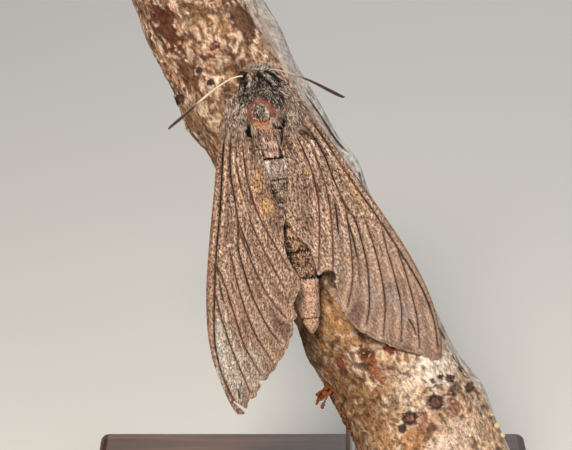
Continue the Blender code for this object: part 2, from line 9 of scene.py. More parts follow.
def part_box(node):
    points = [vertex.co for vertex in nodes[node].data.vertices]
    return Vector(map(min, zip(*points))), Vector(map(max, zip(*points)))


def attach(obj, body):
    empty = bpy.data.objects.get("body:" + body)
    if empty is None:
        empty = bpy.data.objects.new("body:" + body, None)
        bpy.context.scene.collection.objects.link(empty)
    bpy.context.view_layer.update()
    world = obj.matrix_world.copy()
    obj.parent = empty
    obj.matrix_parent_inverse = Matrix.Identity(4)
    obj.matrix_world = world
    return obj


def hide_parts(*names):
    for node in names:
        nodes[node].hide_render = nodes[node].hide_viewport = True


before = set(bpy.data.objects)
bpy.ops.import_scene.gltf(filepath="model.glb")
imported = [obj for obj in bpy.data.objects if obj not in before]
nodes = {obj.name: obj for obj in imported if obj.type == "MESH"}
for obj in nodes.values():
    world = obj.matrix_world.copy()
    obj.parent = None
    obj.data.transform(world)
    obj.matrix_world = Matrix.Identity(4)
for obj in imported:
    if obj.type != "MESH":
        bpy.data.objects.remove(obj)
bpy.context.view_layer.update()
print("frame loaded")

# Everything is worked out in the viewer's axes, in millimetres: X right, Y up, Z out of the bark.
# One turn and one shift lean it back over the stand, as in the solids.
mm = 0.001
viewer = {
    "downDeg": 20.0,
    "lift": 58.5,
    "shift": -5.0,
    "height": 465.0,
    "focus": 15.0,
    "frameWidth": 95.33,
    "sensor": 36.0,
}
lean = np.array(Matrix.Rotation(math.radians(90.0 - viewer["downDeg"]), 3, "X"))
leanAt = np.array([viewer["shift"], 0.0, viewer["lift"]])


def toWorld(points):
    return (np.asarray(points) @ lean.T + leanAt) * mm


def toViewer(points):
    return (np.asarray(points) / mm - leanAt) @ lean


def hexColour(text):
    # a screen colour as the linear numbers that a shader takes
    parts = [int(text[i : i + 2], 16) / 255 for i in (1, 3, 5)]
    return (*[c / 12.92 if c <= 0.04045 else ((c + 0.055) / 1.055) ** 2.4 for c in parts], 1.0)


def blendColour(colours, share, other):
    # colours move towards another one by a share at each point
    return colours + (np.array(hexColour(other)[:3]) - colours) * np.clip(share, 0.0, 1.0)[:, None]


def smoothStep(low, high, values):
    t = np.clip((values - low) / (high - low), 0.0, 1.0)
    return t * t * (3 - 2 * t)


def smoothPath(points, count):
    # even steps along a smooth curve through the points
    fixed = np.array(points, float)
    ends = np.vstack([2 * fixed[0] - fixed[1], fixed, 2 * fixed[-1] - fixed[-2]])
    t = np.linspace(0.0, 1.0, 24, endpoint=False)[:, None]
    dense = []
    for a, b, c, d in zip(ends, ends[1:], ends[2:], ends[3:]):
        spot = (-t + 2 * t**2 - t**3) * a + (2 - 5 * t**2 + 3 * t**3) * b
        spot = spot + (t + 4 * t**2 - 3 * t**3) * c + (t**3 - t**2) * d
        dense.append(0.5 * spot)
    dense = np.vstack(dense + [fixed[-1:]])
    along = np.concatenate([[0.0], np.cumsum(np.linalg.norm(np.diff(dense, axis=0), axis=1))])
    even = np.linspace(0.0, along[-1], count)
    return np.array([np.interp(even, along, column) for column in dense.T]).T


def fromLine(points, line):
    # how far each point lies from a broken line, and its share of the way along it
    line = np.asarray(line, float)
    lengths = np.linalg.norm(np.diff(line, axis=0), axis=1)
    done = np.concatenate([[0.0], np.cumsum(lengths)])
    away = np.full(len(points), 1e9)
    share = np.zeros(len(points))
    for i in range(len(line) - 1):
        span = line[i + 1] - line[i]
        t = np.clip((points - line[i]) @ span / max(span @ span, 1e-12), 0.0, 1.0)
        gap = np.linalg.norm(points - line[i] - t[:, None] * span, axis=1)
        closer = gap < away
        away[closer] = gap[closer]
        share[closer] = (done[i] + t[closer] * lengths[i]) / done[-1]
    return away, share


def cloudy(points, size, seed=0.0):
    # soft noise from -1 to 1 with blobs of about the given size in millimetres
    return np.array([noise.noise(Vector(p)) for p in np.asarray(points) / size + seed])


def deselect():
    bpy.ops.object.select_all(action="DESELECT")


def pick(*pieces):
    # selects these pieces alone, and the first of them is the active one
    deselect()
    for piece in pieces:
        piece.select_set(True)
    bpy.context.view_layer.objects.active = pieces[0]


def gridSheet(name, net):
    # a grid primitive with its corners moved onto a net of points, rows by columns
    rows, columns = net.shape[:2]
    deselect()
    bpy.ops.mesh.primitive_grid_add(x_subdivisions=columns - 1, y_subdivisions=rows - 1, size=1.0)
    sheet = bpy.context.active_object
    sheet.name = name
    sheet.data.name = name
    sheet.data.vertices.foreach_set("co", toWorld(net.reshape(-1, 3)).astype(np.float32).ravel())
    sheet.data.update()
    return sheet


def closeShell():
    # sews the seam of the grid just made, closes its two ends and turns its faces outwards
    bpy.ops.object.mode_set(mode="EDIT")
    bpy.ops.mesh.select_all(action="SELECT")
    bpy.ops.mesh.remove_doubles(threshold=2e-6)
    bpy.ops.mesh.select_all(action="SELECT")
    bpy.ops.mesh.fill_holes(sides=0)
    bpy.ops.mesh.normals_make_consistent(inside=False)
    bpy.ops.object.mode_set(mode="OBJECT")
    bpy.ops.object.shade_smooth()


def setAttribute(piece, name, values):
    kind, field = ("FLOAT", "value") if values.ndim == 1 else ("FLOAT_VECTOR", "vector")
    if values.ndim == 2 and values.shape[1] == 4:
        kind, field = "FLOAT_COLOR", "color"
    attribute = piece.data.attributes.new(name, kind, "POINT")
    attribute.data.foreach_set(field, values.astype(np.float32).ravel())


def paint(piece, colours):
    setAttribute(piece, "paint", np.hstack([np.clip(colours, 0.0, 1.0), np.ones((len(colours), 1))]))


def places(piece):
    co = np.empty(len(piece.data.vertices) * 3, np.float32)
    piece.data.vertices.foreach_get("co", co)
    return toViewer(co.reshape(-1, 3).astype(float))


def normals(piece):
    n = np.empty(len(piece.data.vertices) * 3, np.float32)
    piece.data.vertex_normals.foreach_get("vector", n)
    return n.reshape(-1, 3).astype(float) @ lean


def moveTo(piece, points):
    piece.data.vertices.foreach_set("co", toWorld(points).astype(np.float32).ravel())
    piece.data.update()


def meshPiece(name, verts, faces, uvs=None):
    # a piece from points in the viewer's axes, with a bake map where each point is given its place on it
    mesh = bpy.data.meshes.new(name)
    mesh.from_pydata(toWorld(verts).tolist(), [], faces.tolist())
    piece = bpy.data.objects.new(name, mesh)
    bpy.context.scene.collection.objects.link(piece)
    if uvs is not None:
        layer = mesh.uv_layers.new(name="OFBake")
        layer.data.foreach_set("uv", uvs[faces.ravel()].astype(np.float32).ravel())
    return piece


def repeatFaces(pattern, count, each):
    # one small shape's faces, repeated for every copy of its points
    return (np.array(pattern)[None] + (np.arange(count) * each)[:, None, None]).reshape(-1, 3)


def applyModifier(piece, kind, **settings):
    pick(piece)
    modifier = piece.modifiers.new("form", kind)
    for key, value in settings.items():
        setattr(modifier, key, value)
    bpy.ops.object.modifier_apply(modifier="form")


def addNode(tree, kind, inputs=None, stops=None, **settings):
    # adds one node, its settings, its socket values or links, and a ramp's colour stops
    node = tree.nodes.new(kind)
    for key, value in settings.items():
        setattr(node, key, value)
    for key, value in (inputs or {}).items():
        if isinstance(value, bpy.types.NodeSocket):
            tree.links.new(value, node.inputs[key])
        else:
            node.inputs[key].default_value = value
    for index, (place, colour) in enumerate(stops or []):
        spot = node.color_ramp.elements[index] if index < 2 else node.color_ramp.elements.new(place)
        spot.position = place
        spot.color = hexColour(colour)
    return node


def startMaterial(name):
    material = bpy.data.materials.new(name)
    material.use_nodes = True
    return material, material.node_tree, material.node_tree.nodes["Principled BSDF"]


def wear(piece, *materials):
    piece.data.materials.clear()
    for material in materials:
        piece.data.materials.append(material)


def finishPiece(piece, slot, *replaced):
    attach(piece, "root")
    if replaced:
        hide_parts(*replaced)


# Camera: straight down the viewer's axis, framed as the photo is
bpy.ops.object.camera_add()
camera = bpy.context.active_object
camera.name = "camera"
camera.data.sensor_width = viewer["sensor"]
camera.data.lens = viewer["sensor"] * (viewer["height"] - viewer["focus"]) / viewer["frameWidth"]
camera.location = toWorld([0.0, 0.0, viewer["height"]])
camera.rotation_euler = (math.radians(90.0 - viewer["downDeg"]), 0.0, 0.0)
camera.data.clip_start = 0.01
bpy.context.scene.camera = camera
print("camera set")


# Bark of an old fruit-tree branch: dull, papery scales in cream, tan and red-brown, with one smooth grey side
bark = {
    # middle line from the top cut down, with the radius: x, y, radius
    "line": [
        (-18.8, 46.0, 10.1), (-14.6, 37.5, 10.1), (-6.3, 20.8, 10.4), (5.0, 0.0, 10.9), (16.2, -20.8, 11.2),
        (24.7, -37.5, 11.7), (28.6, -45.2, 11.8),
    ],
    # bumps of the solid: height, degrees round, rise, spread
    "bumps": [
        (36.0, -80.0, 0.9, 2.6),
        (21.5, -95.0, 1.1, 2.2),
        (29.0, 70.0, 0.7, 3.0),
        (5.5, 82.0, 1.2, 2.4),
        (-18.0, -88.0, 0.8, 2.8),
        (-24.0, 40.0, 0.5, 3.2),
        (-33.0, 88.0, 1.1, 3.0),
        (-38.0, -40.0, 0.7, 3.5),
    ],
    "rings": 340,
    "sides": 270,
    "unrolledRadius": 10.5,
    "layerDepth": 0.16,
    "flakeDepth": 0.11,
    "gritDepth": 0.06,
    # knots and pits: x, y, radius
    "knots": [
        (20.8, -32.4, 1.15),
        (25.1, -29.8, 1.25),
        (27.5, -26.0, 0.75),
        (25.8, -25.6, 0.4),
        (24.7, -26.3, 0.45),
        (31.1, -27.6, 0.8),
        (28.2, -28.6, 0.4),
        (19.6, -34.2, 0.7),
        (-14.5, 26.2, 0.6),
        (-12.6, 24.1, 0.6),
        (-17.8, 21.6, 0.8),
    ],
    # peeled edges, painted dark as the shade under each edge and as the right wing's shadow beside it: the
    # points of each edge and its half width
    "peelsAndShadows": [
        ([(3.2, 22.4), (5.3, 19.2), (8.0, 15.2), (11.2, 10.5), (13.8, 6.5)], 0.62),
        ([(14.9, 5.4), (16.6, 2.4), (18.4, -0.8)], 0.4),
        ([(25.0, -17.2), (26.8, -20.2), (28.9, -23.4), (30.7, -26.6)], 0.42),
        ([(31.4, -28.6), (32.8, -31.4), (33.6, -34.0)], 0.3),
    ],
    # patches: x, y, half length along the branch, half width, colour, strength
    "patches": [
        (-20.6, 34.0, 5.0, 2.0, "#5a2c1c", 0.95),
        (-16.6, 25.6, 4.6, 1.7, "#6a3f24", 0.9),
        (-19.4, 21.8, 2.2, 1.5, "#5f2618", 0.95),
        (-7.4, 34.5, 5.0, 1.6, "#5c3a28", 0.9),
        (-9.0, 27.5, 3.0, 1.0, "#6b4a33", 0.7),
        (-14.6, 35.6, 1.9, 1.4, "#7c5a37", 0.8),
        (-11.8, 30.2, 0.9, 0.9, "#5e2a1e", 0.9),
        (-11.0, 34.0, 2.0, 1.3, "#a98058", 0.6),
        (-8.6, 22.0, 2.0, 1.6, "#73513a", 0.6),
        (-15.5, 17.5, 3.5, 1.8, "#7e5a35", 0.7),
        (25.0, -23.2, 4.6, 3.4, "#efdccb", 0.9),
        (21.6, -25.6, 2.6, 3.0, "#ecd4be", 0.8),
        (26.0, -38.0, 3.4, 3.2, "#ecd0bc", 0.7),
        (17.0, -37.5, 3.0, 2.2, "#c79a6c", 0.6),
        (20.0, -28.6, 2.6, 1.9, "#e0c5a8", 0.85),
        (14.0, -22.4, 4.4, 1.2, "#8a4f2a", 0.85),
        (17.5, -20.6, 1.6, 1.0, "#6e2c18", 0.95),
        (9.6, -23.6, 1.5, 0.9, "#7c3a1d", 0.85),
        (22.4, -33.4, 2.6, 2.2, "#7a4630", 0.8),
        (27.4, -30.6, 2.4, 2.0, "#80503a", 0.8),
        (21.5, -36.0, 2.8, 2.2, "#b5814f", 0.7),
        (30.0, -35.0, 3.5, 3.0, "#e0c4ac", 0.7),
        (14.6, -31.0, 5.5, 2.0, "#9a6f47", 0.6),
        (9.5, -28.0, 6.0, 1.6, "#81593a", 0.7),
        (12.5, -12.0, 5.0, 2.0, "#a87a50", 0.8),
        (8.5, -15.5, 5.5, 3.4, "#b98a5e", 0.75),
        (13.3, -23.5, 0.4, 0.25, "#3f9f7f", 0.9),
        # painted shadow of the right wing's edge, with the dark of peeled bark in it: thin dark strips along
        # the wing
        (27.0, -19.3, 2.6, 0.28, "#3a2a22", 0.85),
        (29.3, -22.8, 1.9, 0.3, "#4a352a", 0.8),
        (31.6, -26.8, 1.6, 0.22, "#4a3a30", 0.7),
        (11.4, 12.6, 3.6, 0.3, "#4a3d36", 0.75),
        (13.5, 7.0, 3.0, 0.28, "#3c302a", 0.75),
        (8.6, 17.5, 2.2, 0.35, "#6a5a50", 0.6),
        (-3.2, 30.5, 2.8, 1.2, "#9c7c68", 0.6),
    ],
}
barkPath = smoothPath(bark["line"], 600)[::-1]


def branchAt(y):
    # middle, radius, way up and way right of the branch at heights
    y = np.atleast_1d(y).astype(float)
    x, radius = (np.interp(y, barkPath[:, 1], barkPath[:, k]) for k in (0, 2))
    above, below = (np.interp(y + step, barkPath[:, 1], barkPath[:, 0]) for step in (0.5, -0.5))
    slope = above - below
    up = np.stack([slope, np.ones_like(y), np.zeros_like(y)], axis=1)
    up /= np.linalg.norm(up, axis=1)[:, None]
    right = np.stack([up[:, 1], -up[:, 0], np.zeros_like(y)], axis=1)
    return np.stack([x, y, np.zeros_like(y)], axis=1), radius, up, right


def barkWave(angle, y):
    # the long ripples of the solid, round the branch and along it
    return 0.16 * np.sin(3 * angle + 0.21 * y) + 0.12 * np.sin(5 * angle - 0.37 * y)


def overBark(x, y, clear):
    # the place over the front of the bark at x and y, clear of it by a distance
    middle, radius, _, right = (v[0] for v in branchAt(y))
    side = (x - middle[0]) * right[0]
    angle = math.asin(max(-1.0, min(1.0, side / radius)))
    full = radius + barkWave(angle, y)
    for height, degrees, lift, spread in bark["bumps"]:
        away = (y - height) ** 2 + (radius * (angle - math.radians(degrees))) ** 2
        full += lift * math.exp(-away / (2 * spread**2))
    return (x, y, math.sqrt(max(0.0, (full + clear) ** 2 - side**2)))


def makeBranch():
    # the bark as one shell round the solid's own form, with its relief and its colours
    heights = np.linspace(bark["line"][0][1], bark["line"][-1][1], bark["rings"])
    angles = np.linspace(-math.pi, math.pi, bark["sides"] + 1)
    middle, radius, _, right = branchAt(heights)
    y, angle = np.meshgrid(heights, angles, indexing="ij")
    full = radius[:, None] + barkWave(angle, y)
    for height, degrees, lift, spread in bark["bumps"]:
        around = (angle - math.radians(degrees) + math.pi) % (2 * math.pi) - math.pi
        full += lift * np.exp(-((y - height) ** 2 + (radius[:, None] * around) ** 2) / (2 * spread**2))
    out = np.sin(angle)[..., None] * right[:, None] + np.cos(angle)[..., None] * np.array([0.0, 0.0, 1.0])
    length = np.concatenate([[0.0], np.cumsum(np.linalg.norm(np.diff(middle, axis=0), axis=1))])
    # each point's place on a straight round log, which the patterns follow
    log = bark["unrolledRadius"]
    along = np.broadcast_to(length[:, None], angle.shape)
    flat = np.stack([log * np.sin(angle), log * np.cos(angle), along], axis=-1).reshape(-1, 3)
    spot = (middle[:, None] + full[..., None] * out).reshape(-1, 3)
    # the smooth grey side is to the right of the picture; it starts along a wandering line
    turn = np.degrees(angle).ravel()
    edge = 44.0 + 0.4 * (34.0 - spot[:, 1]) + 6.0 * cloudy(flat, 6.0, 3.0)
    smooth = smoothStep(edge - 2.0, edge + 3.0, turn) * smoothStep(132.0, 118.0, turn)
    rough = 1.0 - 0.85 * smooth
    # thin layers that have peeled off in places, with a crisp edge each
    stretch = flat * np.array([1.0, 1.0, 0.6])
    warped = stretch + 0.7 * np.stack([cloudy(flat, 1.3, s) for s in (1.0, 5.0, 9.0)], axis=1)
    layers, rims = np.zeros(len(flat)), np.zeros(len(flat))
    tints = []
    for index, (size, level) in enumerate([(5.5, 0.05), (3.2, 0.12), (2.0, 0.2)]):
        field = cloudy(warped, size, 11.0 + 7.0 * index) - level
        tints.append(smoothStep(-0.02, 0.02, field))
        layers += bark["layerDepth"] * smoothStep(-0.03, 0.03, field) / (1 + 0.5 * index)
        broken = smoothStep(-0.15, 0.25, cloudy(flat, 1.6, 17.0 + index))
        rims = np.maximum(rims, np.exp(-((field / (0.05 + 0.03 * index)) ** 2)) * broken)
    flakes = cloudy(warped, 0.75, 13.0)
    swell = cloudy(stretch, 4.5, 15.0)
    grit = cloudy(flat, 0.5, 2.0)
    relief = (layers + bark["flakeDepth"] * flakes + 0.3 * swell - 0.1 * rims) * rough
    relief = relief + bark["gritDepth"] * grit * (0.4 + 0.6 * rough)
    ends = np.minimum(flat[:, 2], length[-1] - flat[:, 2])
    relief *= smoothStep(0.0, 2.0, ends)
    front = spot[:, 2] > 0.0
    knotted, hearts, halos = np.zeros((3, len(flat)))
    for x, ky, size in bark["knots"]:
        away = np.hypot(spot[:, 0] - x, spot[:, 1] - ky) / (size * (1.0 + 0.3 * grit + 0.25 * flakes))
        relief += front * 0.34 * (np.exp(-((away - 1.0) ** 2) / 0.07) - 0.9 * np.exp(-(away**2) / 0.4))
        knotted = np.maximum(knotted, front * (1.0 - smoothStep(0.95, 1.2, away)))
        hearts = np.maximum(hearts, front * (size > 0.7) * (1.0 - smoothStep(0.4, 0.62, away)))
        halos = np.maximum(halos, front * smoothStep(1.15, 1.35, away) * (1.0 - smoothStep(1.5, 1.8, away)))
    spot += relief[:, None] * out.reshape(-1, 3)
    # colour: tan and cream mottling, browner where a layer has gone, then the patches of this branch
    lower = smoothStep(-12.0, -22.0, spot[:, 1]) * smoothStep(-26.0, 4.0, turn)
    colours = np.tile(hexColour("#b88d6a")[:3], (len(flat), 1))
    colours = blendColour(colours, tints[0] * 0.45, "#c9a283")
    colours = blendColour(colours, (1 - tints[1]) * 0.35, "#8e5c3c")
    colours = blendColour(colours, tints[2] * 0.5, "#dcbd9f")
    colours = blendColour(colours, smoothStep(0.12, 0.5, cloudy(stretch, 3.4, 21.0)) * 0.7, "#70412b")
    # the raised flakes are painted paler and the low places between them darker, partly the bark's own cream
    # and brown and partly painted highlight and shade
    colours = blendColour(colours, smoothStep(0.0, 0.3, flakes) * (0.6 - 0.2 * lower), "#edd6c0")
    colours = blendColour(colours, smoothStep(0.05, 0.35, -flakes) * (0.7 - 0.45 * lower), "#583322")
    colours = blendColour(colours, 0.55 * lower, "#deb996")
    # painted shade: the lower left side of the branch is darkened, with dark cracks painted only in that
    # shade
    shade = smoothStep(-22.0, -40.0, turn + 10.0 * swell) * smoothStep(2.0, -20.0, spot[:, 1])
    colours = blendColour(colours, 0.6 * shade, "#886238")
    crackle = smoothStep(0.12, 0.02, np.abs(cloudy(flat * np.array([1.0, 1.0, 0.3]), 0.8, 27.0)))
    colours = blendColour(colours, shade * crackle * 0.7, "#33231a")
    _, _, up, side = branchAt(spot[:, 1])
    for x, py, long, wide, tint, strength in bark["patches"]:
        away = spot - np.array([x, py, 0.0])
        inside = np.hypot((away * up).sum(axis=1) / long, (away * side).sum(axis=1) / wide)
        inside = inside * (1.0 + 0.5 * cloudy(flat, 1.1, 51.0 + x)) + 0.4 * flakes + 0.25 * grit
        colours = blendColour(colours, strength * front * (1.0 - smoothStep(0.75, 1.05, inside)), tint)
    colours = blendColour(colours, 0.88 * smooth, "#cbc3ba")
    colours = blendColour(colours, smooth * smoothStep(58.0, 80.0, turn) * 0.7, "#e4e2df")
    colours = blendColour(colours, smooth * smoothStep(-8.0, -18.0, spot[:, 1]) * 0.7, "#e6dccd")
    colours = blendColour(colours, smooth * smoothStep(0.1, 0.35, cloudy(flat, 2.4, 61.0)) * 0.6, "#a38a78")
    colours = blendColour(colours, smooth * smoothStep(0.12, 0.3, cloudy(flat, 0.7, 62.0)) * 0.5, "#8d7b6e")
    split = np.abs(cloudy(flat * np.array([1.0, 1.0, 0.14]), 1.5, 67.0))
    split = smoothStep(0.07, 0.02, split) * smoothStep(-24.0, -8.0, spot[:, 1])
    colours = blendColour(colours, smooth * split * 0.7, "#6b584b")
    colours = blendColour(colours, rims * rough * 0.85, "#4a2c1c")
    colours = blendColour(colours, halos * rough * 0.5, "#ecd6bd")
    colours = blendColour(colours, knotted * 0.92, "#2a1a1b")
    colours = blendColour(colours, hearts * 0.85, "#8a6250")
    # peeled edges where the rough bark stops: painted dark as the shade under each edge and as the right
    # wing's shadow along it, with a painted highlight on the pale lip
    for line, wide in bark["peelsAndShadows"]:
        path = np.array([overBark(x, py, 0.0) for x, py in smoothPath(line, 40)])
        away, share = fromLine(spot + 0.25 * np.stack([flakes, grit, swell], axis=1), path)
        taper = wide * np.sin(math.pi * share) ** 0.4 * (1.0 + 0.5 * cloudy(flat, 1.0, 91.0))
        beyond = (spot[:, 0] - np.interp(spot[:, 1], path[::-1, 1], path[::-1, 0])) > 0.0
        dark = front * (1.0 - smoothStep(0.7, 1.1, away / np.maximum(taper, 0.02)))
        highlightLip = front * beyond * np.exp(-(((away / np.maximum(taper, 0.02) - 1.5) / 0.4) ** 2))
        colours = blendColour(colours, dark * 0.92, "#33241e")
        colours = blendColour(colours, highlightLip * (share > 0.02) * (share < 0.98) * 0.8, "#f0ebe4")
    shell = gridSheet("perch_bark", spot.reshape(*angle.shape, 3))
    paint(shell, colours)
    setAttribute(shell, "barkPlace", flat)
    setAttribute(shell, "barkRough", rough)
    closeShell()
    return shell


branch = makeBranch()


def barkMaterial():
    # bark of an old branch: dry, dull and scaly, so it is rough all over with hard small relief
    material, tree, shader = startMaterial("peeling_bark")
    tint = addNode(tree, "ShaderNodeAttribute", attribute_name="paint")
    place = addNode(tree, "ShaderNodeAttribute", attribute_name="barkPlace")
    dry = addNode(tree, "ShaderNodeAttribute", attribute_name="barkRough")
    grain = addNode(tree, "ShaderNodeMapping", {"Vector": place.outputs["Vector"], "Scale": (1.0, 1.0, 0.55)})
    fibre = addNode(
        tree,
        "ShaderNodeTexNoise",
        {"Vector": grain.outputs["Vector"], "Scale": 2.3, "Detail": 6.0, "Roughness": 0.7, "Distortion": 0.4},
    )
    light = addNode(
        tree,
        "ShaderNodeMapRange",
        {"Value": fibre.outputs["Fac"], "From Min": 0.34, "From Max": 0.66, "To Min": 0.3, "To Max": 1.7},
    )
    flake = addNode(
        tree, "ShaderNodeTexVoronoi", {"Vector": grain.outputs["Vector"], "Scale": 1.6, "Randomness": 1.0}
    )
    bits = addNode(
        tree, "ShaderNodeMapRange", {"Value": flake.outputs["Color"], "To Min": 0.72, "To Max": 1.25}
    )
    both = addNode(
        tree, "ShaderNodeMath", {0: light.outputs["Result"], 1: bits.outputs["Result"]}, operation="MULTIPLY"
    )
    # thin broken cracks round the edges of the papery layers
    crack = addNode(
        tree,
        "ShaderNodeTexNoise",
        {
            "Vector": grain.outputs["Vector"],
            "Scale": 0.55,
            "Detail": 4.0,
            "Roughness": 0.65,
            "Distortion": 0.9,
        },
    )
    offset = addNode(tree, "ShaderNodeMath", {0: crack.outputs["Fac"], 1: 0.5}, operation="SUBTRACT")
    near = addNode(tree, "ShaderNodeMath", {0: offset.outputs["Value"]}, operation="ABSOLUTE")
    line = addNode(
        tree, "ShaderNodeMapRange", {"Value": near.outputs["Value"], "From Max": 0.016, "To Min": 0.3}
    )
    gaps = addNode(
        tree, "ShaderNodeTexNoise", {"Vector": place.outputs["Vector"], "Scale": 0.5, "Detail": 1.0}
    )
    closed = addNode(
        tree, "ShaderNodeMapRange", {"Value": gaps.outputs["Fac"], "From Min": 0.44, "From Max": 0.54}
    )
    cracked = addNode(
        tree, "ShaderNodeMath", {0: line.outputs["Result"], 1: closed.outputs["Result"]}, operation="MAXIMUM"
    )
    whole = addNode(
        tree, "ShaderNodeMath", {0: both.outputs["Value"], 1: cracked.outputs["Value"]}, operation="MULTIPLY"
    )
    calm = addNode(tree, "ShaderNodeMapRange", {"Value": dry.outputs["Fac"], "To Min": 0.35, "To Max": 1.0})
    mild = addNode(tree, "ShaderNodeMix", {0: calm.outputs["Result"], 2: 1.0, 3: whole.outputs["Value"]})
    shaded = addNode(
        tree, "ShaderNodeVectorMath", {0: tint.outputs["Color"], "Scale": mild.outputs[0]}, operation="SCALE"
    )
    tree.links.new(shaded.outputs["Vector"], shader.inputs["Base Color"])
    shader.inputs["Roughness"].default_value = 0.85
    shader.inputs["Specular IOR Level"].default_value = 0.3
    bump = addNode(
        tree, "ShaderNodeBump", {"Height": whole.outputs["Value"], "Distance": 0.00016, "Strength": 0.9}
    )
    tree.links.new(bump.outputs["Normal"], shader.inputs["Normal"])
    return material


def sawnMaterial():
    # sawn dry wood: pale end grain with yearly rings about 1.2 mm apart
    material, tree, shader = startMaterial("sawn_wood")
    place = addNode(tree, "ShaderNodeAttribute", attribute_name="endPlace")
    ring = addNode(
        tree,
        "ShaderNodeTexWave",
        {"Vector": place.outputs["Vector"], "Scale": 0.27, "Distortion": 1.2, "Detail": 3.0},
        wave_type="RINGS",
        rings_direction="SPHERICAL",
    )
    tone = addNode(
        tree,
        "ShaderNodeValToRGB",
        {"Fac": ring.outputs["Fac"]},
        [(0.0, "#b58a5c"), (0.6, "#cfa878"), (1.0, "#8b5f38")],
    )
    tree.links.new(tone.outputs["Color"], shader.inputs["Base Color"])
    shader.inputs["Roughness"].default_value = 0.75
    bump = addNode(
        tree, "ShaderNodeBump", {"Height": ring.outputs["Fac"], "Distance": 0.0001, "Strength": 0.6}
    )
    tree.links.new(bump.outputs["Normal"], shader.inputs["Normal"])
    return material


def makeEnds():
    # a sawn disc over each end of the bark, a little below the rim
    for name, index, out in (("perch_end_top", 0, 1.0), ("perch_end_foot", -1, -1.0)):
        _, y, radius = bark["line"][index]
        middle, _, up, side = (v[0] for v in branchAt(y))
        turns = np.linspace(0.0, 2 * math.pi, 97)
        steps = np.array([0.0001, 0.2, 0.4, 0.6, 0.8, 0.93, 0.97])
        rise = np.array([0.22, 0.22, 0.22, 0.22, 0.2, 0.12, -0.35])
        net = []
        for step, lift in zip(steps, rise):
            ring = np.sin(turns)[:, None] * side + np.cos(turns)[:, None] * np.array([0.0, 0.0, 1.0])
            net.append(middle + step * radius * ring + out * lift * up)
        disc = gridSheet(name, np.array(net))
        sine, cosine = (np.outer(steps * radius, turn(turns)) for turn in (np.sin, np.cos))
        flat = np.stack([sine, cosine, np.zeros_like(sine)], axis=-1)
        setAttribute(disc, "endPlace", flat.reshape(-1, 3))
        closeShell()
        wear(disc, sawn)
        finishPiece(disc, "bark")


peelingBark = barkMaterial()
sawn = sawnMaterial()
wear(branch, peelingBark)
finishPiece(branch, "bark", "perch_branch")
makeEnds()
print("branch made")


# Papery flakes, crumbs of lichen, frass, crust and pale nodules on the bark
def scatter(piece, count, seed, weight):
    # random places over a piece's faces, with more where the weight is greater
    mesh = piece.data
    mesh.calc_loop_triangles()
    corner = np.empty(len(mesh.loop_triangles) * 3, np.int32)
    mesh.loop_triangles.foreach_get("vertices", corner)
    corner = corner.reshape(-1, 3)
    spot, out = places(piece), normals(piece)
    a, b, c = (spot[corner[:, k]] for k in range(3))
    area = np.linalg.norm(np.cross(b - a, c - a), axis=1) / 2
    middle, facing = (a + b + c) / 3, out[corner].mean(axis=1)
    chance = area * np.clip(weight(middle, facing, corner), 0.0, None)
    rng = np.random.default_rng(seed)
    chosen = rng.choice(len(chance), count, p=chance / chance.sum())
    r1, r2 = np.sqrt(rng.random(count)), rng.random(count)
    shares = np.stack([1 - r1, r1 * (1 - r2), r1 * r2], axis=1)[..., None]
    corner = corner[chosen]
    up = (out[corner] * shares).sum(axis=1)
    up /= np.linalg.norm(up, axis=1)[:, None]
    return (spot[corner] * shares).sum(axis=1), up, corner, shares


def readAttribute(piece, name, width, field):
    values = np.empty(len(piece.data.vertices) * width, np.float32)
    piece.data.attributes[name].data.foreach_get(field, values)
    return values.reshape(-1, width)


def paintAt(piece, corner, shares):
    return (readAttribute(piece, "paint", 4, "color")[:, :3][corner] * shares).sum(axis=1)


def alongSurface(ways, up):
    # ways turned down onto the surface, each of length one
    ways = ways - (ways * up).sum(axis=1)[:, None] * up
    return ways / np.maximum(np.linalg.norm(ways, axis=1), 1e-9)[:, None]


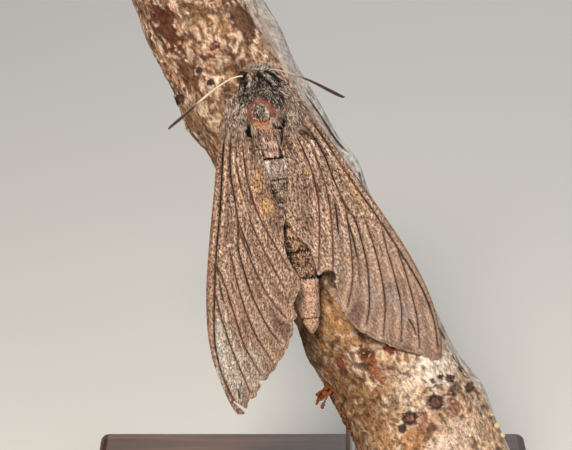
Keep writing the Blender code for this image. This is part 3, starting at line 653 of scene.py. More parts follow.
def growTufts(name, roots, up, lie, colourAt, rootUv, style, seed, shorter=1.0):
    # one solid tapered tuft at each root, leaning the way that the coat lies there
    rng = np.random.default_rng(seed)
    count = len(roots)
    length = rng.uniform(*style["length"], count) * shorter
    width = rng.uniform(*style["width"], count)
    turn = np.radians(rng.normal(0.0, style["spreadDeg"], count))
    lift = rng.uniform(*style["lift"], count)
    curl = rng.normal(0.0, style["curl"], count)
    lie = alongSurface(lie, up)
    way = np.cos(turn)[:, None] * lie + np.sin(turn)[:, None] * np.cross(up, lie)
    side = np.cross(up, way)
    colours = colourAt(roots + way * (0.45 * length)[:, None])
    # three-sided rings, by their share of the length and of the width, and then the tip
    rings = {3: ((0.0, 0.7), (0.4, 1.0), (0.75, 0.62)), 2: ((0.0, 0.85), (0.5, 1.0))}[style["rings"]]
    verts, uvs, shares = [], [], []
    for t, breadth in rings:
        middle = roots + way * (length * t)[:, None] + side * (length * curl * t * t)[:, None]
        middle = middle + up * (length * lift * t * (1.6 - t) - (style["sink"] if t == 0.0 else 0.0))[:, None]
        half = (width * breadth / 2)[:, None]
        verts += [middle - side * half, middle + side * half, middle + up * half * style["round"]]
        uvs += [rootUv + [across * halfPatch, (2 * t - 1) * halfPatch] for across in (-1, 1, 0)]
        shares += [t, t, t]
    tip = roots + way * length[:, None] + side * (length * curl)[:, None]
    tip = tip + up * (length * lift * 0.6)[:, None]
    verts.append(tip)
    uvs.append(rootUv + [0.0, halfPatch])
    shares.append(1.0)
    each = len(verts)
    verts, uvs = np.stack(verts, axis=1).reshape(-1, 3), np.stack(uvs, axis=1).reshape(-1, 2)
    pattern = [(0, 1, 2)]
    for ring in range(style["rings"] - 1):
        for a, b in ((0, 2), (2, 1), (1, 0)):
            low, high = ring * 3, ring * 3 + 3
            pattern += [(low + a, low + b, high + b), (low + a, high + b, high + a)]
    last = (style["rings"] - 1) * 3
    pattern += [(last + a, last + b, each - 1) for a, b in ((0, 2), (2, 1), (1, 0))]
    piece = meshPiece(name, verts, repeatFaces(pattern, count, each), uvs)
    # each tuft has its own tone, darker at its root
    clumps = cloudy(roots * np.array([1.0, 0.5, 1.0]), 0.42, 5.0)
    tone = rng.normal(1.0, style["toneSpread"], count) * (1.0 + style["clump"] * clumps)
    tone = np.clip(tone, 0.25, 1.9)
    luck = rng.random(count)
    lit = smoothStep(0.01, 0.05, colours.mean(axis=1))
    colours = blendColour(colours, style["pale"] * (luck < style["paleShare"]) * lit, style["paleColour"])
    colours = blendColour(colours, style["dark"] * (luck > 1.0 - style["darkShare"]), style["darkColour"])
    fade = np.array(shares)[None] * (style["tip"] - style["root"]) + style["root"]
    tones = (tone[:, None] * fade)[..., None] * colours[:, None, :]
    paint(piece, tones.reshape(-1, 3))
    piece.data.shade_smooth()
    return piece


def hairMaterial(name, roughness):
    # scales, hair and dry crumbs: matt all over, each in the tone that is painted on it
    material, tree, shader = startMaterial(name)
    tint = addNode(tree, "ShaderNodeAttribute", attribute_name="paint")
    tree.links.new(tint.outputs["Color"], shader.inputs["Base Color"])
    shader.inputs["Roughness"].default_value = roughness
    shader.inputs["Specular IOR Level"].default_value = 0.15
    return material


def makeFlakes():
    # loose chips, in clumps, on the rough side and clear of the sawn ends
    rough = readAttribute(branch, "barkRough", 1, "value")[:, 0]
    flat = readAttribute(branch, "barkPlace", 3, "vector")
    clumps = cloudy(flat, 3.0, 19.0)

    def weight(middle, facing, corner):
        along = flat[corner, 2].mean(axis=1)
        ends = smoothStep(1.0, 3.0, along) * smoothStep(98.0, 96.0, along)
        return (rough[corner].mean(axis=1) > 0.6) * ends * smoothStep(-0.1, 0.4, clumps[corner[:, 0]])

    roots, up, corner, shares = scatter(branch, barkFlakes["count"], 21, weight)
    place = (flat[corner] * shares).sum(axis=1)
    colours = paintAt(branch, corner, shares)
    around = np.arctan2(place[:, 0], place[:, 1]) / (2 * math.pi) + 0.5
    uv = 0.02 + 0.96 * np.stack([around, place[:, 2] / 110.0], axis=1)
    # each flake is a thin irregular chip with one edge curled up; its underside and lower rim are painted
    # dark as shade and the middle of its top a little lighter as a painted highlight
    rng = np.random.default_rng(22)
    count, corners = len(roots), barkFlakes["corners"]
    turns = np.linspace(0.0, 2 * math.pi, corners, endpoint=False) + rng.normal(0.0, 0.22, (count, corners))
    reach = rng.uniform(*barkFlakes["size"], count)[:, None] * rng.uniform(0.55, 1.25, (count, corners))
    spin = rng.uniform(0.0, 2 * math.pi, count)[:, None]
    ahead, aside = 1.45 * reach * np.cos(turns), 0.65 * reach * np.sin(turns)
    curl = rng.uniform(*barkFlakes["curl"], count)[:, None] * np.clip(ahead, 0.0, None) ** 2
    way = alongSurface(np.tile(branchAt(0.0)[2][0], (count, 1)), up)
    side = np.cross(up, way)
    across = (np.cos(spin) * ahead - np.sin(spin) * aside)[..., None] * way[:, None]
    across = across + (np.sin(spin) * ahead + np.cos(spin) * aside)[..., None] * side[:, None]
    thick = rng.uniform(*barkFlakes["thick"], count)[:, None]
    tops = roots[:, None] + across + up[:, None] * (thick + curl)[..., None]
    lows = roots[:, None] + 0.9 * across + up[:, None] * (curl - 0.08)[..., None]
    hub, base = roots + up * thick, roots - up * 0.1
    verts = np.concatenate([hub[:, None], tops, lows, base[:, None]], axis=1)
    after = [(k + 1) % corners for k in range(corners)]
    pattern = [(0, 1 + k, 1 + after[k]) for k in range(corners)]
    pattern += [(1 + k, 1 + corners + k, 1 + corners + after[k]) for k in range(corners)]
    pattern += [(1 + k, 1 + corners + after[k], 1 + after[k]) for k in range(corners)]
    pattern += [(2 * corners + 1, 1 + corners + after[k], 1 + corners + k) for k in range(corners)]
    ring = halfPatch * np.stack([np.cos(turns), np.sin(turns)], axis=-1)
    uvs = np.concatenate([uv[:, None], uv[:, None] + ring, uv[:, None] + ring, uv[:, None]], axis=1)
    faces = repeatFaces(pattern, count, 2 * corners + 2)
    flakes = meshPiece("bark_flakes", verts.reshape(-1, 3), faces, uvs.reshape(-1, 2))
    flakeShading = np.array([1.1, *[1.0] * corners, *[0.45] * corners, 0.4])
    tone = rng.normal(0.78, 0.16, (count, 1, 1)) * flakeShading[:, None]
    pale = (rng.random((count, 1, 1)) < 0.15) * 0.25
    colours = colours[:, None] + (np.array(hexColour("#ecd8c2")[:3]) - colours[:, None]) * pale
    paint(flakes, (tone * colours).reshape(-1, 3))
    wear(flakes, hairMaterial("bark_flake", 0.85))
    finishPiece(flakes, "bark")


def makeCrumbs(name, spots, sizes, tint, seed):
    # lumps made from one small ball, each stretched and knocked about
    deselect()
    bpy.ops.mesh.primitive_ico_sphere_add(subdivisions=2, radius=1.0)
    ball = bpy.context.active_object
    co = np.array([v.co for v in ball.data.vertices])
    faces = np.array([list(f.vertices) for f in ball.data.polygons])
    bpy.data.objects.remove(ball)
    rng = np.random.default_rng(seed)
    count = len(spots)
    lumps = co[None] * rng.uniform(0.6, 1.15, (count, 1, 3)) * np.asarray(sizes)[:, None, None]
    lumps *= rng.uniform(0.8, 1.2, (count, len(co), 1))
    verts = (lumps + np.asarray(spots)[:, None]).reshape(-1, 3)
    piece = meshPiece(name, verts, repeatFaces(faces, count, len(co)))
    colours = np.array(hexColour(tint)[:3]) * rng.uniform(0.7, 1.3, (count, 1))
    paint(piece, np.repeat(colours, len(co), axis=0))
    piece.data.shade_smooth()
    wear(piece, crumbly)
    finishPiece(piece, "bark")


def onBark(spots):
    # places of the flat picture, laid on the front of the bark
    return np.array([overBark(x, y, 0.0) for x, y in spots])


def besideBranch(y, share):
    # a place level with the middle line at a height, out by a share of the radius
    middle, radius, _, right = (v[0] for v in branchAt(y))
    return middle[:2] + share * radius * right[:2]


# half the side of the patch that each tuft or chip has on its bake map
halfPatch = 0.0012
# a tuft's rings and roundness, how deep its root is sunk, and its tones, lighter at the tip
tuftForm = {
    "rings": 3,
    "round": 0.7,
    "sink": 0.12,
    "curl": 0.12,
    "toneSpread": 0.14,
    "clump": 0.9,
    "root": 0.55,
    "tip": 1.2,
    "paleShare": 0.3,
    "pale": 0.75,
    "paleColour": "#d9c8b6",
    "darkShare": 0.34,
    "dark": 0.8,
    "darkColour": "#140e0c",
}
barkFlakes = {"count": 2400, "corners": 7, "size": (0.14, 0.42), "thick": (0.02, 0.05), "curl": (0.0, 0.4)}
makeFlakes()
crumbly = hairMaterial("dry_crumbs", 0.85)
crumbTints = {"scrap": "#7c4424", "frass": "#6c331d", "crust": "#74402a", "nodule": "#dcc69c"}
luck = np.random.default_rng(77)
# the scrap hangs in short strands from the branch's left edge, each crumb touching the one before
strands = []
for start in luck.uniform(-23.6, -21.4, 9):
    first = np.array([*besideBranch(start, -0.97), luck.uniform(0.0, 3.0)])
    steps = luck.normal(0.0, 0.13, (14, 3)) + np.array([-0.12, -0.16, -0.04])
    strands.append(first + np.cumsum(steps, axis=0))
scrap = np.vstack(strands)
makeCrumbs("lichen_scrap", scrap, luck.uniform(0.2, 0.36, len(scrap)), crumbTints["scrap"], 78)
# frass lies in a loose band across the branch, under the tail
bandCount = 170
alongBand = luck.uniform(0.0, 1.0, bandCount)
bandX = 8.4 + 9.6 * alongBand + luck.normal(0, 0.5, bandCount)
bandY = -24.6 + 3.9 * alongBand + luck.normal(0, 0.5, bandCount)
band = np.stack([bandX, bandY], axis=1)
makeCrumbs("rust_frass", onBark(band), luck.uniform(0.08, 0.2, bandCount), crumbTints["frass"], 79)
# crusty outer edge of the branch, left of the tail and of the head
crust = np.concatenate([luck.uniform(-36.5, -20.5, 90), luck.uniform(19.0, 38.0, 26)])
crust = [besideBranch(y, -share) for y, share in zip(crust, luck.uniform(0.93, 0.995, len(crust)))]
makeCrumbs("edge_crust", onBark(crust), luck.uniform(0.1, 0.3, len(crust)), crumbTints["crust"], 81)
# nodules: five on the right edge, by height and share of the radius, and four on the front
noduleEdge = ((-37.6, 0.99), (-39.4, 0.985), (-41.2, 0.99), (-33.0, 0.97), (-35.6, 0.95))
nodules = [besideBranch(y, share) for y, share in noduleEdge]
nodules += [(29.4, -25.4), (31.0, -35.5), (28.0, -34.0), (30.2, -37.0)]
noduleSizes = [0.4, 0.6, 0.48, 0.36, 0.26, 0.26, 0.3, 0.26, 0.26]
makeCrumbs("pale_nodules", onBark(nodules), noduleSizes, crumbTints["nodule"], 80)
print("flakes and crumbs made")


# Wings: dry, worn scales on a stiff membrane, taupe with dark veins, and streaked at the base
wings = {
    # where each forewing starts, and the way and distance to its tip
    "root": {"left": (-10.5, 19.2), "right": (1.7, 21.7)},
    "aim": {"left": (2.8, -50.5), "right": (23.8, -43.7)},
    # the ridge of the roof that the wings make runs over the body's middle line
    "bodyLine": [
        (-5.0, 27.0), (-3.85, 19.8), (-3.83, 18.4), (-2.95, 14.1), (-2.2, 10.5), (-0.9, 5.0), (0.35, 0.0),
        (1.9, -6.0), (3.2, -11.0), (4.0, -14.5), (4.4, -17.0), (9.0, -36.0),
    ],
    "roofTop": 21.0,
    "roofFall": 0.07,
    "roofSlope": {"left": 0.6, "right": 0.45},
    "roofRound": 1.5,
    "roofFrom": 18.4,
    # how much wider than drawn each wing lies, before and behind its axis, and longer at its tip
    "foreSpread": {"left": 1.05, "right": 0.88},
    "innerSpread": {"left": 0.95, "right": 1.05},
    "tipStretch": {"left": 0.9, "right": 0.0},
    # how far the worn inner edge lies in or out of the outline: along, shift
    "innerShift": {
        "left": [
            (10.0, 0.0), (12.5, -0.1), (15.0, -0.8), (18.5, 0.1), (20.3, -0.75), (23.0, -1.0), (25.4, -0.75),
            (29.5, 0.25), (31.0, 0.6), (34.0, 0.6), (38.0, 0.2), (42.0, 0.0),
        ],
        "right": [
            (10.0, 0.0), (12.0, 0.15), (14.3, 0.6), (17.3, 1.2), (19.0, 0.95), (20.6, 0.45), (22.8, -0.5),
            (26.2, -0.7), (28.3, -0.9), (33.0, 0.0),
        ],
    },
    "hindDrop": 1.5,
    "scales": {"left": "#a38470", "right": "#b5947e"},
    # how far the speckle fades out towards the tips
    "faint": {"left": 0.3, "right": 0.55},
    "thickness": 0.24,
}
forewing = {
    "net": (384, 120),
    "outline": [
        (0.3, 1.2), (2.0, -0.3), (6.0, -1.1), (13.0, -2.1), (21.0, -3.3), (29.0, -4.3), (36.0, -4.6),
        (42.0, -4.0), (47.0, -2.4), (50.2, -0.6), (50.4, 0.6), (48.4, 2.2), (44.0, 6.2), (39.5, 9.1),
        (35.5, 10.1), (32.5, 10.2), (30.3, 11.3), (28.6, 11.6), (25.0, 10.6), (21.0, 10.2), (17.0, 9.5),
        (12.0, 7.5), (8.0, 6.5), (5.0, 6.0), (2.0, 5.0), (0.6, 3.2),
    ],
    # veins: points, colour, strength, half width
    "veins": {
        "subcosta": (
            [
                (3.0, 0.2), (9.0, -0.5), (17.0, -1.4), (24.0, -2.4), (30.0, -3.0), (38.0, -3.5), (44.0, -2.7),
                (48.6, -0.8),
            ],
            "#0f0a0a",
            1.0,
            0.17,
        ),
        "radius": (
            [(30.5, -3.0), (34.5, -2.2), (39.0, -1.1), (43.0, 0.2), (47.0, 1.9)], "#2a1511", 0.95, 0.13
        ),
        "mediaFore": (
            [(25.5, -2.5), (28.5, -1.5), (34.0, -0.1), (39.5, 1.4), (44.6, 4.1)], "#2a1511", 0.95, 0.13
        ),
        "mediaHind": (
            [(23.4, -0.2), (28.6, 0.7), (33.4, 1.9), (38.0, 3.6), (42.2, 6.1)], "#2e1610", 0.95, 0.13
        ),
        "cellEnd": ([(22.9, 1.35), (23.4, -0.2), (25.5, -2.5)], "#5c4034", 0.5, 0.1),
        "cubitalStem": (
            [
                (4.0, 1.3), (10.0, 0.7), (15.0, 1.2), (19.5, 1.6), (22.9, 1.3), (27.0, 2.1), (31.0, 3.2),
                (36.5, 5.7), (39.2, 7.7),
            ],
            "#170d0c",
            1.0,
            0.15,
        ),
        "cubitus": ([(20.0, 1.6), (23.0, 2.6), (27.0, 4.1), (31.5, 6.2), (35.0, 8.9)], "#2a1511", 0.95, 0.13),
        "fold": ([(9.0, 1.8), (15.0, 2.7), (20.0, 4.2), (25.0, 6.4), (30.4, 9.2)], "#3d120e", 0.95, 0.13),
        "anal": (
            [(5.0, 3.2), (9.0, 3.3), (13.0, 3.8), (18.0, 5.3), (23.0, 7.8), (27.4, 10.3)],
            "#4a130d",
            0.95,
            0.13,
        ),
    },
    # marks of each side: points, colour, strength, half width
    "marks": {
        "left": [
            ([(19.6, 1.9), (22.5, 2.9), (24.9, 3.7)], "#171214", 0.95, 0.2),
            ([(25.6, 1.8), (28.0, 2.4), (30.5, 3.1)], "#1f1718", 0.85, 0.16),
            ([(10.6, 1.5), (14.0, 2.3), (18.5, 3.5)], "#d9b48a", 0.85, 0.2),
            ([(6.0, 0.1), (12.0, -0.4), (18.0, -1.0), (26.0, -2.0)], "#caa98b", 0.5, 0.12),
            ([(46.6, -0.2), (48.0, 0.1)], "#1d1413", 0.85, 0.2),
            ([(26.0, -2.4), (27.6, -2.3)], "#1f1614", 0.85, 0.16),
            ([(28.2, -2.2), (30.2, -2.0), (32.4, -1.6)], "#1f1614", 0.85, 0.18),
            ([(24.0, 5.4), (27.0, 6.9)], "#3a2822", 0.5, 0.16),
            ([(33.0, 6.4), (36.5, 8.0)], "#3a2822", 0.5, 0.16),
        ],
        "right": [
            ([(18.8, 2.8), (21.0, 3.6), (23.7, 4.7)], "#171214", 0.95, 0.2),
            ([(23.1, 2.5), (26.0, 3.1), (28.7, 3.9)], "#171214", 0.95, 0.18),
            ([(30.2, 4.4), (32.6, 5.4)], "#2b1e1c", 0.6, 0.12),
            # painted shadow: black along the upper edge of the torn notch
            ([(28.1, 9.9), (28.5, 8.8), (29.3, 8.4), (30.2, 8.7)], "#100b0a", 0.9, 0.3),
            ([(41.7, 1.3), (43.6, 1.2), (45.0, 1.5)], "#171214", 0.9, 0.16),
            ([(6.0, 0.0), (12.0, -0.6), (20.0, -1.3), (27.0, -2.2)], "#c9ab8e", 0.5, 0.12),
            ([(12.0, -0.8), (17.0, -0.9), (22.0, -1.4)], "#c09468", 0.25, 0.5),
        ],
    },
    # worn patches of each side: along, across, half length, half width, colour, strength
    "patches": {
        "left": [
            (12.6, 5.2, 2.6, 0.9, "#bb8d62", 0.6),
            (16.4, 6.6, 1.8, 1.4, "#c79a68", 0.7),
            (39.5, -2.6, 8.0, 1.3, "#c3bcb2", 0.8),
            (43.0, -0.4, 6.0, 2.2, "#bdb4a8", 0.7),
            (43.6, 3.2, 4.4, 2.2, "#b5a99c", 0.6),
            (36.0, 4.6, 3.0, 1.6, "#b3a294", 0.35),
            (46.9, -1.9, 0.9, 0.45, "#5d4438", 0.75),
        ],
        "right": [
            (12.4, 4.4, 0.8, 0.35, "#c8935a", 0.55),
            (20.0, -0.6, 3.4, 1.0, "#b5906c", 0.45),
            (25.4, 3.8, 2.6, 1.0, "#a59a96", 0.4),
            (38.9, 1.5, 4.0, 1.7, "#aa9f99", 0.5),
            (34.5, 4.8, 3.5, 1.4, "#a5978f", 0.45),
            (29.0, 7.4, 2.0, 1.4, "#a39386", 0.35),
        ],
    },
}
hindwing = {
    "net": (180, 60),
    "outline": [
        (4.0, 2.6), (10.0, 0.2), (18.0, -1.2), (26.0, -1.6), (31.0, -0.6), (33.3, 1.8), (31.5, 4.0),
        (27.0, 4.4), (20.0, 3.5), (12.0, 2.7), (6.0, 3.5),
    ],
    "veins": {
        "fore": ([(6.5, 2.4), (12.0, 1.1), (20.0, 0.1), (29.5, 0.3)], "#3a2620", 0.8, 0.14),
        "middle": ([(6.5, 2.9), (13.0, 1.9), (21.0, 1.4), (31.0, 2.1)], "#3a2620", 0.8, 0.14),
        "hind": ([(10.5, 2.6), (20.0, 2.5), (28.0, 3.2)], "#3a2620", 0.7, 0.12),
    },
    "marks": {"left": [], "right": []},
    "patches": {"left": [], "right": []},
}
# what is torn out of each side's wings, on the flat wing
tears = {
    "left": [
        [(48.2, -1.15), (48.55, -1.1), (50.1, 0.75), (50.4, 1.9), (49.5, 1.9), (49.5, 0.9)],
        [(48.2, 3.3), (48.0, 2.5), (48.15, 1.75), (48.6, 1.35), (49.6, 1.2), (50.0, 4.0), (48.0, 5.0)],
        [(45.5, 3.7), (45.75, 3.5), (46.2, 4.3), (46.6, 6.0), (45.6, 6.0)],
    ],
    "right": [
        [
            (28.1, 12.5), (28.25, 10.4), (28.2, 9.6), (28.6, 8.8), (29.2, 8.6), (29.7, 8.95), (31.0, 8.85),
            (32.4, 9.75), (33.4, 10.6), (33.4, 12.5),
        ]
    ],
}


def roofHeight(side, x, y):
    # height of the low roof that the folded wings make over the body
    line = smoothPath(wings["bodyLine"], 400)[::-1]
    middle = np.interp(y, line[:, 1], line[:, 0])
    slope = np.interp(y + 0.5, line[:, 1], line[:, 0]) - np.interp(y - 0.5, line[:, 1], line[:, 0])
    away = (x - middle) * np.cos(np.arctan2(slope, 1.0))
    across = np.hypot(away, wings["roofRound"]) - wings["roofRound"]
    return wings["roofTop"] - wings["roofFall"] * (wings["roofFrom"] - y) - wings["roofSlope"][side] * across


def wingPlace(side, along, across):
    # where a point of the flat wing lies once the wing is folded
    spread = np.where(across < 0.0, wings["foreSpread"][side], wings["innerSpread"][side])
    aim = np.array(wings["aim"][side])
    aim = aim / np.linalg.norm(aim)
    inward = np.array([-aim[1], aim[0]]) if side == "left" else np.array([aim[1], -aim[0]])
    along = along + wings["tipStretch"][side] * smoothStep(44.0, 50.4, along)
    flat = np.array(wings["root"][side]) + along[..., None] * aim + (across * spread)[..., None] * inward
    return np.concatenate([flat, roofHeight(side, flat[..., 0], flat[..., 1])[..., None]], axis=-1)


def wingEdges(outline, along):
    # the fore edge and the inner edge of a wing outline at distances along it
    rim = smoothPath([*outline, outline[0]], 900)
    rim = np.roll(rim[:-1], -rim[:, 0].argmin(), axis=0)
    tip = rim[:, 0].argmax()
    fore, inner = rim[: tip + 1], rim[tip:][::-1]
    return [np.interp(along, np.maximum.accumulate(line[:, 0]), line[:, 1]) for line in (fore, inner)]


def insideOutline(points, outline):
    # which of the points lie within a closed outline
    within = np.zeros(len(points), bool)
    for (ax, ay), (bx, by) in zip(outline, outline[1:] + outline[:1]):
        crosses = (ay > points[:, 1]) != (by > points[:, 1])
        within ^= crosses & (points[:, 0] < ax + (points[:, 1] - ay) * (bx - ax) / (by - ay + 1e-12))
    return within


def makeWing(name, side, form, drop):
    rim = np.array(form["outline"])
    along = np.linspace(rim[:, 0].min() + 0.05, rim[:, 0].max() - 0.02, form["net"][0])
    fore, inner = wingEdges(form["outline"], along)
    if form is forewing:
        inner = inner + np.interp(along, *np.array(wings["innerShift"][side]).T)
    worn = smoothStep(30.0, 33.0, along)
    jag = np.array([noise.noise(Vector((a / 0.7, 3.0 if side == "left" else 8.0, 0.5))) for a in along])
    inner = inner + worn * ((0.3 * jag - 0.1) * (1.6 if side == "left" else 0.9))
    share = np.linspace(0.0, 1.0, form["net"][1])
    across = fore[:, None] + (inner - fore)[:, None] * share
    alongAll = np.broadcast_to(along[:, None], across.shape)
    flat = np.stack([alongAll.ravel(), across.ravel()], axis=1)
    level = np.hstack([flat, np.zeros((len(flat), 1))])
    # the streaks follow the wing's own spread, from its fore edge to its inner edge
    spread = np.broadcast_to(share, across.shape).ravel() * 12.0
    streak = np.stack([alongAll.ravel(), spread, np.zeros(len(flat))], axis=1)
    lines = {key: (smoothPath(vein[0], 40), *vein[1:]) for key, vein in form["veins"].items()}
    nearest = np.full(len(flat), 1e9)
    rise = np.zeros(len(flat))
    for line, _, _, wide in lines.values():
        away, t = fromLine(flat, line)
        nearest = np.minimum(nearest, away)
        taper = smoothStep(0.0, 0.06, t) * (1.0 - 0.6 * smoothStep(0.6, 1.0, t))
        rise = np.maximum(rise, (0.16 * taper + 0.03) * np.exp(-((away / (1.5 * wide)) ** 2)))
    # the membrane sags a little between its veins, and the base is pleated along the wing
    sag = -0.3 * smoothStep(0.0, 1.6, nearest)
    pleat = 0.1 * np.sin(streak[:, 1] * 5.0 + 0.6 * cloudy(streak, 3.0)) * smoothStep(22.0, 4.0, flat[:, 0])
    scales = 0.02 * cloudy(level * np.array([0.6, 1.0, 1.0]), 0.32, 4.0)
    spot = wingPlace(side, alongAll, across).reshape(-1, 3)
    spot[:, 2] += rise + sag + pleat + scales - drop
    colours, cores = wingColours(side, form, flat, streak, lines)
    # near black painted as shade where the wing roots lie in the gaps beside the scutellum
    colours = blendColour(colours, pitShadeOf(spot), "#0c0807")
    wing = gridSheet(name, spot.reshape(*across.shape, 3))
    paint(wing, colours)
    setAttribute(wing, "wingPlace", streak)
    setAttribute(wing, "veinCore", cores)
    setAttribute(wing, "wingFlat", level)
    if wing.data.polygons[len(wing.data.polygons) // 2].normal @ Vector(lean[:, 2]) < 0.0:
        bpy.ops.object.mode_set(mode="EDIT")
        bpy.ops.mesh.select_all(action="SELECT")
        bpy.ops.mesh.flip_normals()
        bpy.ops.object.mode_set(mode="OBJECT")
    # what is torn away, and what would lie deep inside the thorax, is deleted
    gone = np.zeros(len(flat), bool)
    for tear in tears[side]:
        frayed = flat + 0.08 * np.stack([cloudy(streak, 0.4, 1.0), cloudy(streak, 0.4, 2.0)], axis=1)
        gone |= insideOutline(frayed, tear)
    world = toWorld(spot)
    for index in np.flatnonzero(flat[:, 0] < 12.0):
        place, normal, _, gap = skinTree.find_nearest(Vector(world[index]))
        if gap > 0.9 * mm and (Vector(world[index]) - place) @ normal < 0.0:
            gone[index] = True
    pick(wing)
    for vert, lost in zip(wing.data.vertices, gone):
        vert.select = bool(lost)
    for edge in wing.data.edges:
        edge.select = bool(gone[edge.vertices[0]] and gone[edge.vertices[1]])
    for face in wing.data.polygons:
        face.select = False
    bpy.ops.object.mode_set(mode="EDIT")
    bpy.ops.mesh.select_mode(type="VERT")
    bpy.ops.mesh.delete(type="VERT")
    bpy.ops.object.mode_set(mode="OBJECT")
    applyModifier(wing, "SOLIDIFY", thickness=wings["thickness"] * mm, offset=-1.0)
    bpy.ops.object.shade_smooth()
    return wing


def wingColours(side, form, flat, streak, lines):
    # the painted colours, and where the veins and dark marks stay free of speckle
    def drawn(along, across, seed):
        return cloudy(streak * np.array([along, across, 1.0]), 1.0, seed)

    colours = np.tile(hexColour(wings["scales"][side])[:3], (len(flat), 1))
    mottle = cloudy(np.hstack([flat, np.zeros((len(flat), 1))]) * np.array([0.6, 1.0, 1.0]), 2.6, 14.0)
    colours = blendColour(colours, smoothStep(0.0, 0.4, mottle) * 0.5, "#b89b86")
    colours = blendColour(colours, smoothStep(0.0, 0.4, -mottle) * 0.6, "#6f574a")
    # long streaks run from the base and fade along the wing
    broad, narrow = drawn(0.16, 2.3, 24.0), drawn(0.3, 5.2, 34.0)
    fade = 0.25 + 0.75 * smoothStep(30.0, 3.0, flat[:, 0])
    colours = blendColour(colours, smoothStep(0.05, 0.4, broad) * 0.8 * fade, "#d2b49c")
    colours = blendColour(colours, smoothStep(0.05, 0.35, -broad) * 0.75 * fade, "#4d3831")
    colours = blendColour(colours, smoothStep(0.12, 0.4, narrow) * 0.75 * fade, "#35251f")
    thin = np.minimum(np.abs(drawn(0.045, 1.15, 84.0)), np.abs(drawn(0.06, 1.9, 94.0)))
    thin = smoothStep(0.07, 0.015, thin)
    colours = blendColour(colours, thin * 0.9 * smoothStep(28.0, 7.0, flat[:, 0]), "#2a1b18")
    nearest = np.min([fromLine(flat, line)[0] for line, *_ in lines.values()], axis=0)
    wave = drawn(0.25, 1.0, 104.0)
    colours = blendColour(colours, np.exp(-(((nearest - 0.5) / 0.28) ** 2)) * (0.45 + 0.3 * wave), "#bfa28c")
    colours = blendColour(colours, smoothStep(0.7, 1.3, nearest + 0.5 * wave) * 0.45, "#6a5347")
    fore, inner = wingEdges(form["outline"], flat[:, 0])
    fromFore, fromInner = flat[:, 1] - fore, inner - flat[:, 1]
    colours = blendColour(colours, smoothStep(0.5, 0.12, fromFore) * 0.75, "#8f5f45")
    colours = blendColour(colours, smoothStep(0.5, 0.1, fromInner) * 0.4, "#b89a80")
    for index, (x, y, long, wide, tint, strength) in enumerate(form["patches"][side]):
        inside = np.hypot((flat[:, 0] - x) / long, (flat[:, 1] - y) / wide)
        ragged = drawn(0.45, 1.6, 44.0 + index) + 0.5 * drawn(1.4, 3.5, 46.0)
        colours = blendColour(colours, strength * (1.0 - smoothStep(0.35, 1.1, inside + 0.8 * ragged)), tint)
    cores = np.zeros(len(flat))
    for line, tint, strength, wide in lines.values():
        away, t = fromLine(flat, line)
        away = away + 0.04 * cloudy(streak, 0.6, 54.0)
        edge = np.exp(-((away / (2.6 * wide)) ** 2))
        colours = blendColour(colours, 0.4 * edge, "#6b4a3e")
        broken = 0.7 + 0.3 * smoothStep(-0.5, 0.1, drawn(0.9, 0.2, 64.0))
        ends = smoothStep(0.0, 0.08, t) * (1.0 - 0.3 * smoothStep(0.8, 1.0, t))
        core = strength * np.exp(-((away / (0.9 * wide)) ** 4)) * ends * broken
        colours = blendColour(colours, core, tint)
        cores = np.maximum(cores, core)
    for points, tint, strength, wide in form["marks"][side]:
        away, t = fromLine(flat, smoothPath(points, 20))
        taper = wide * (0.35 + 0.65 * np.sin(math.pi * t) ** 0.5)
        mark = np.exp(-((away / taper) ** 4))
        colours = blendColour(colours, strength * mark, tint)
        cores = np.maximum(cores, mark * strength * (hexColour(tint)[0] < 0.1))
    # the speckle is fainter towards the tips
    faint = wings["faint"][side] * smoothStep(20.0, 36.0, flat[:, 0])
    return colours, np.maximum(cores, faint)


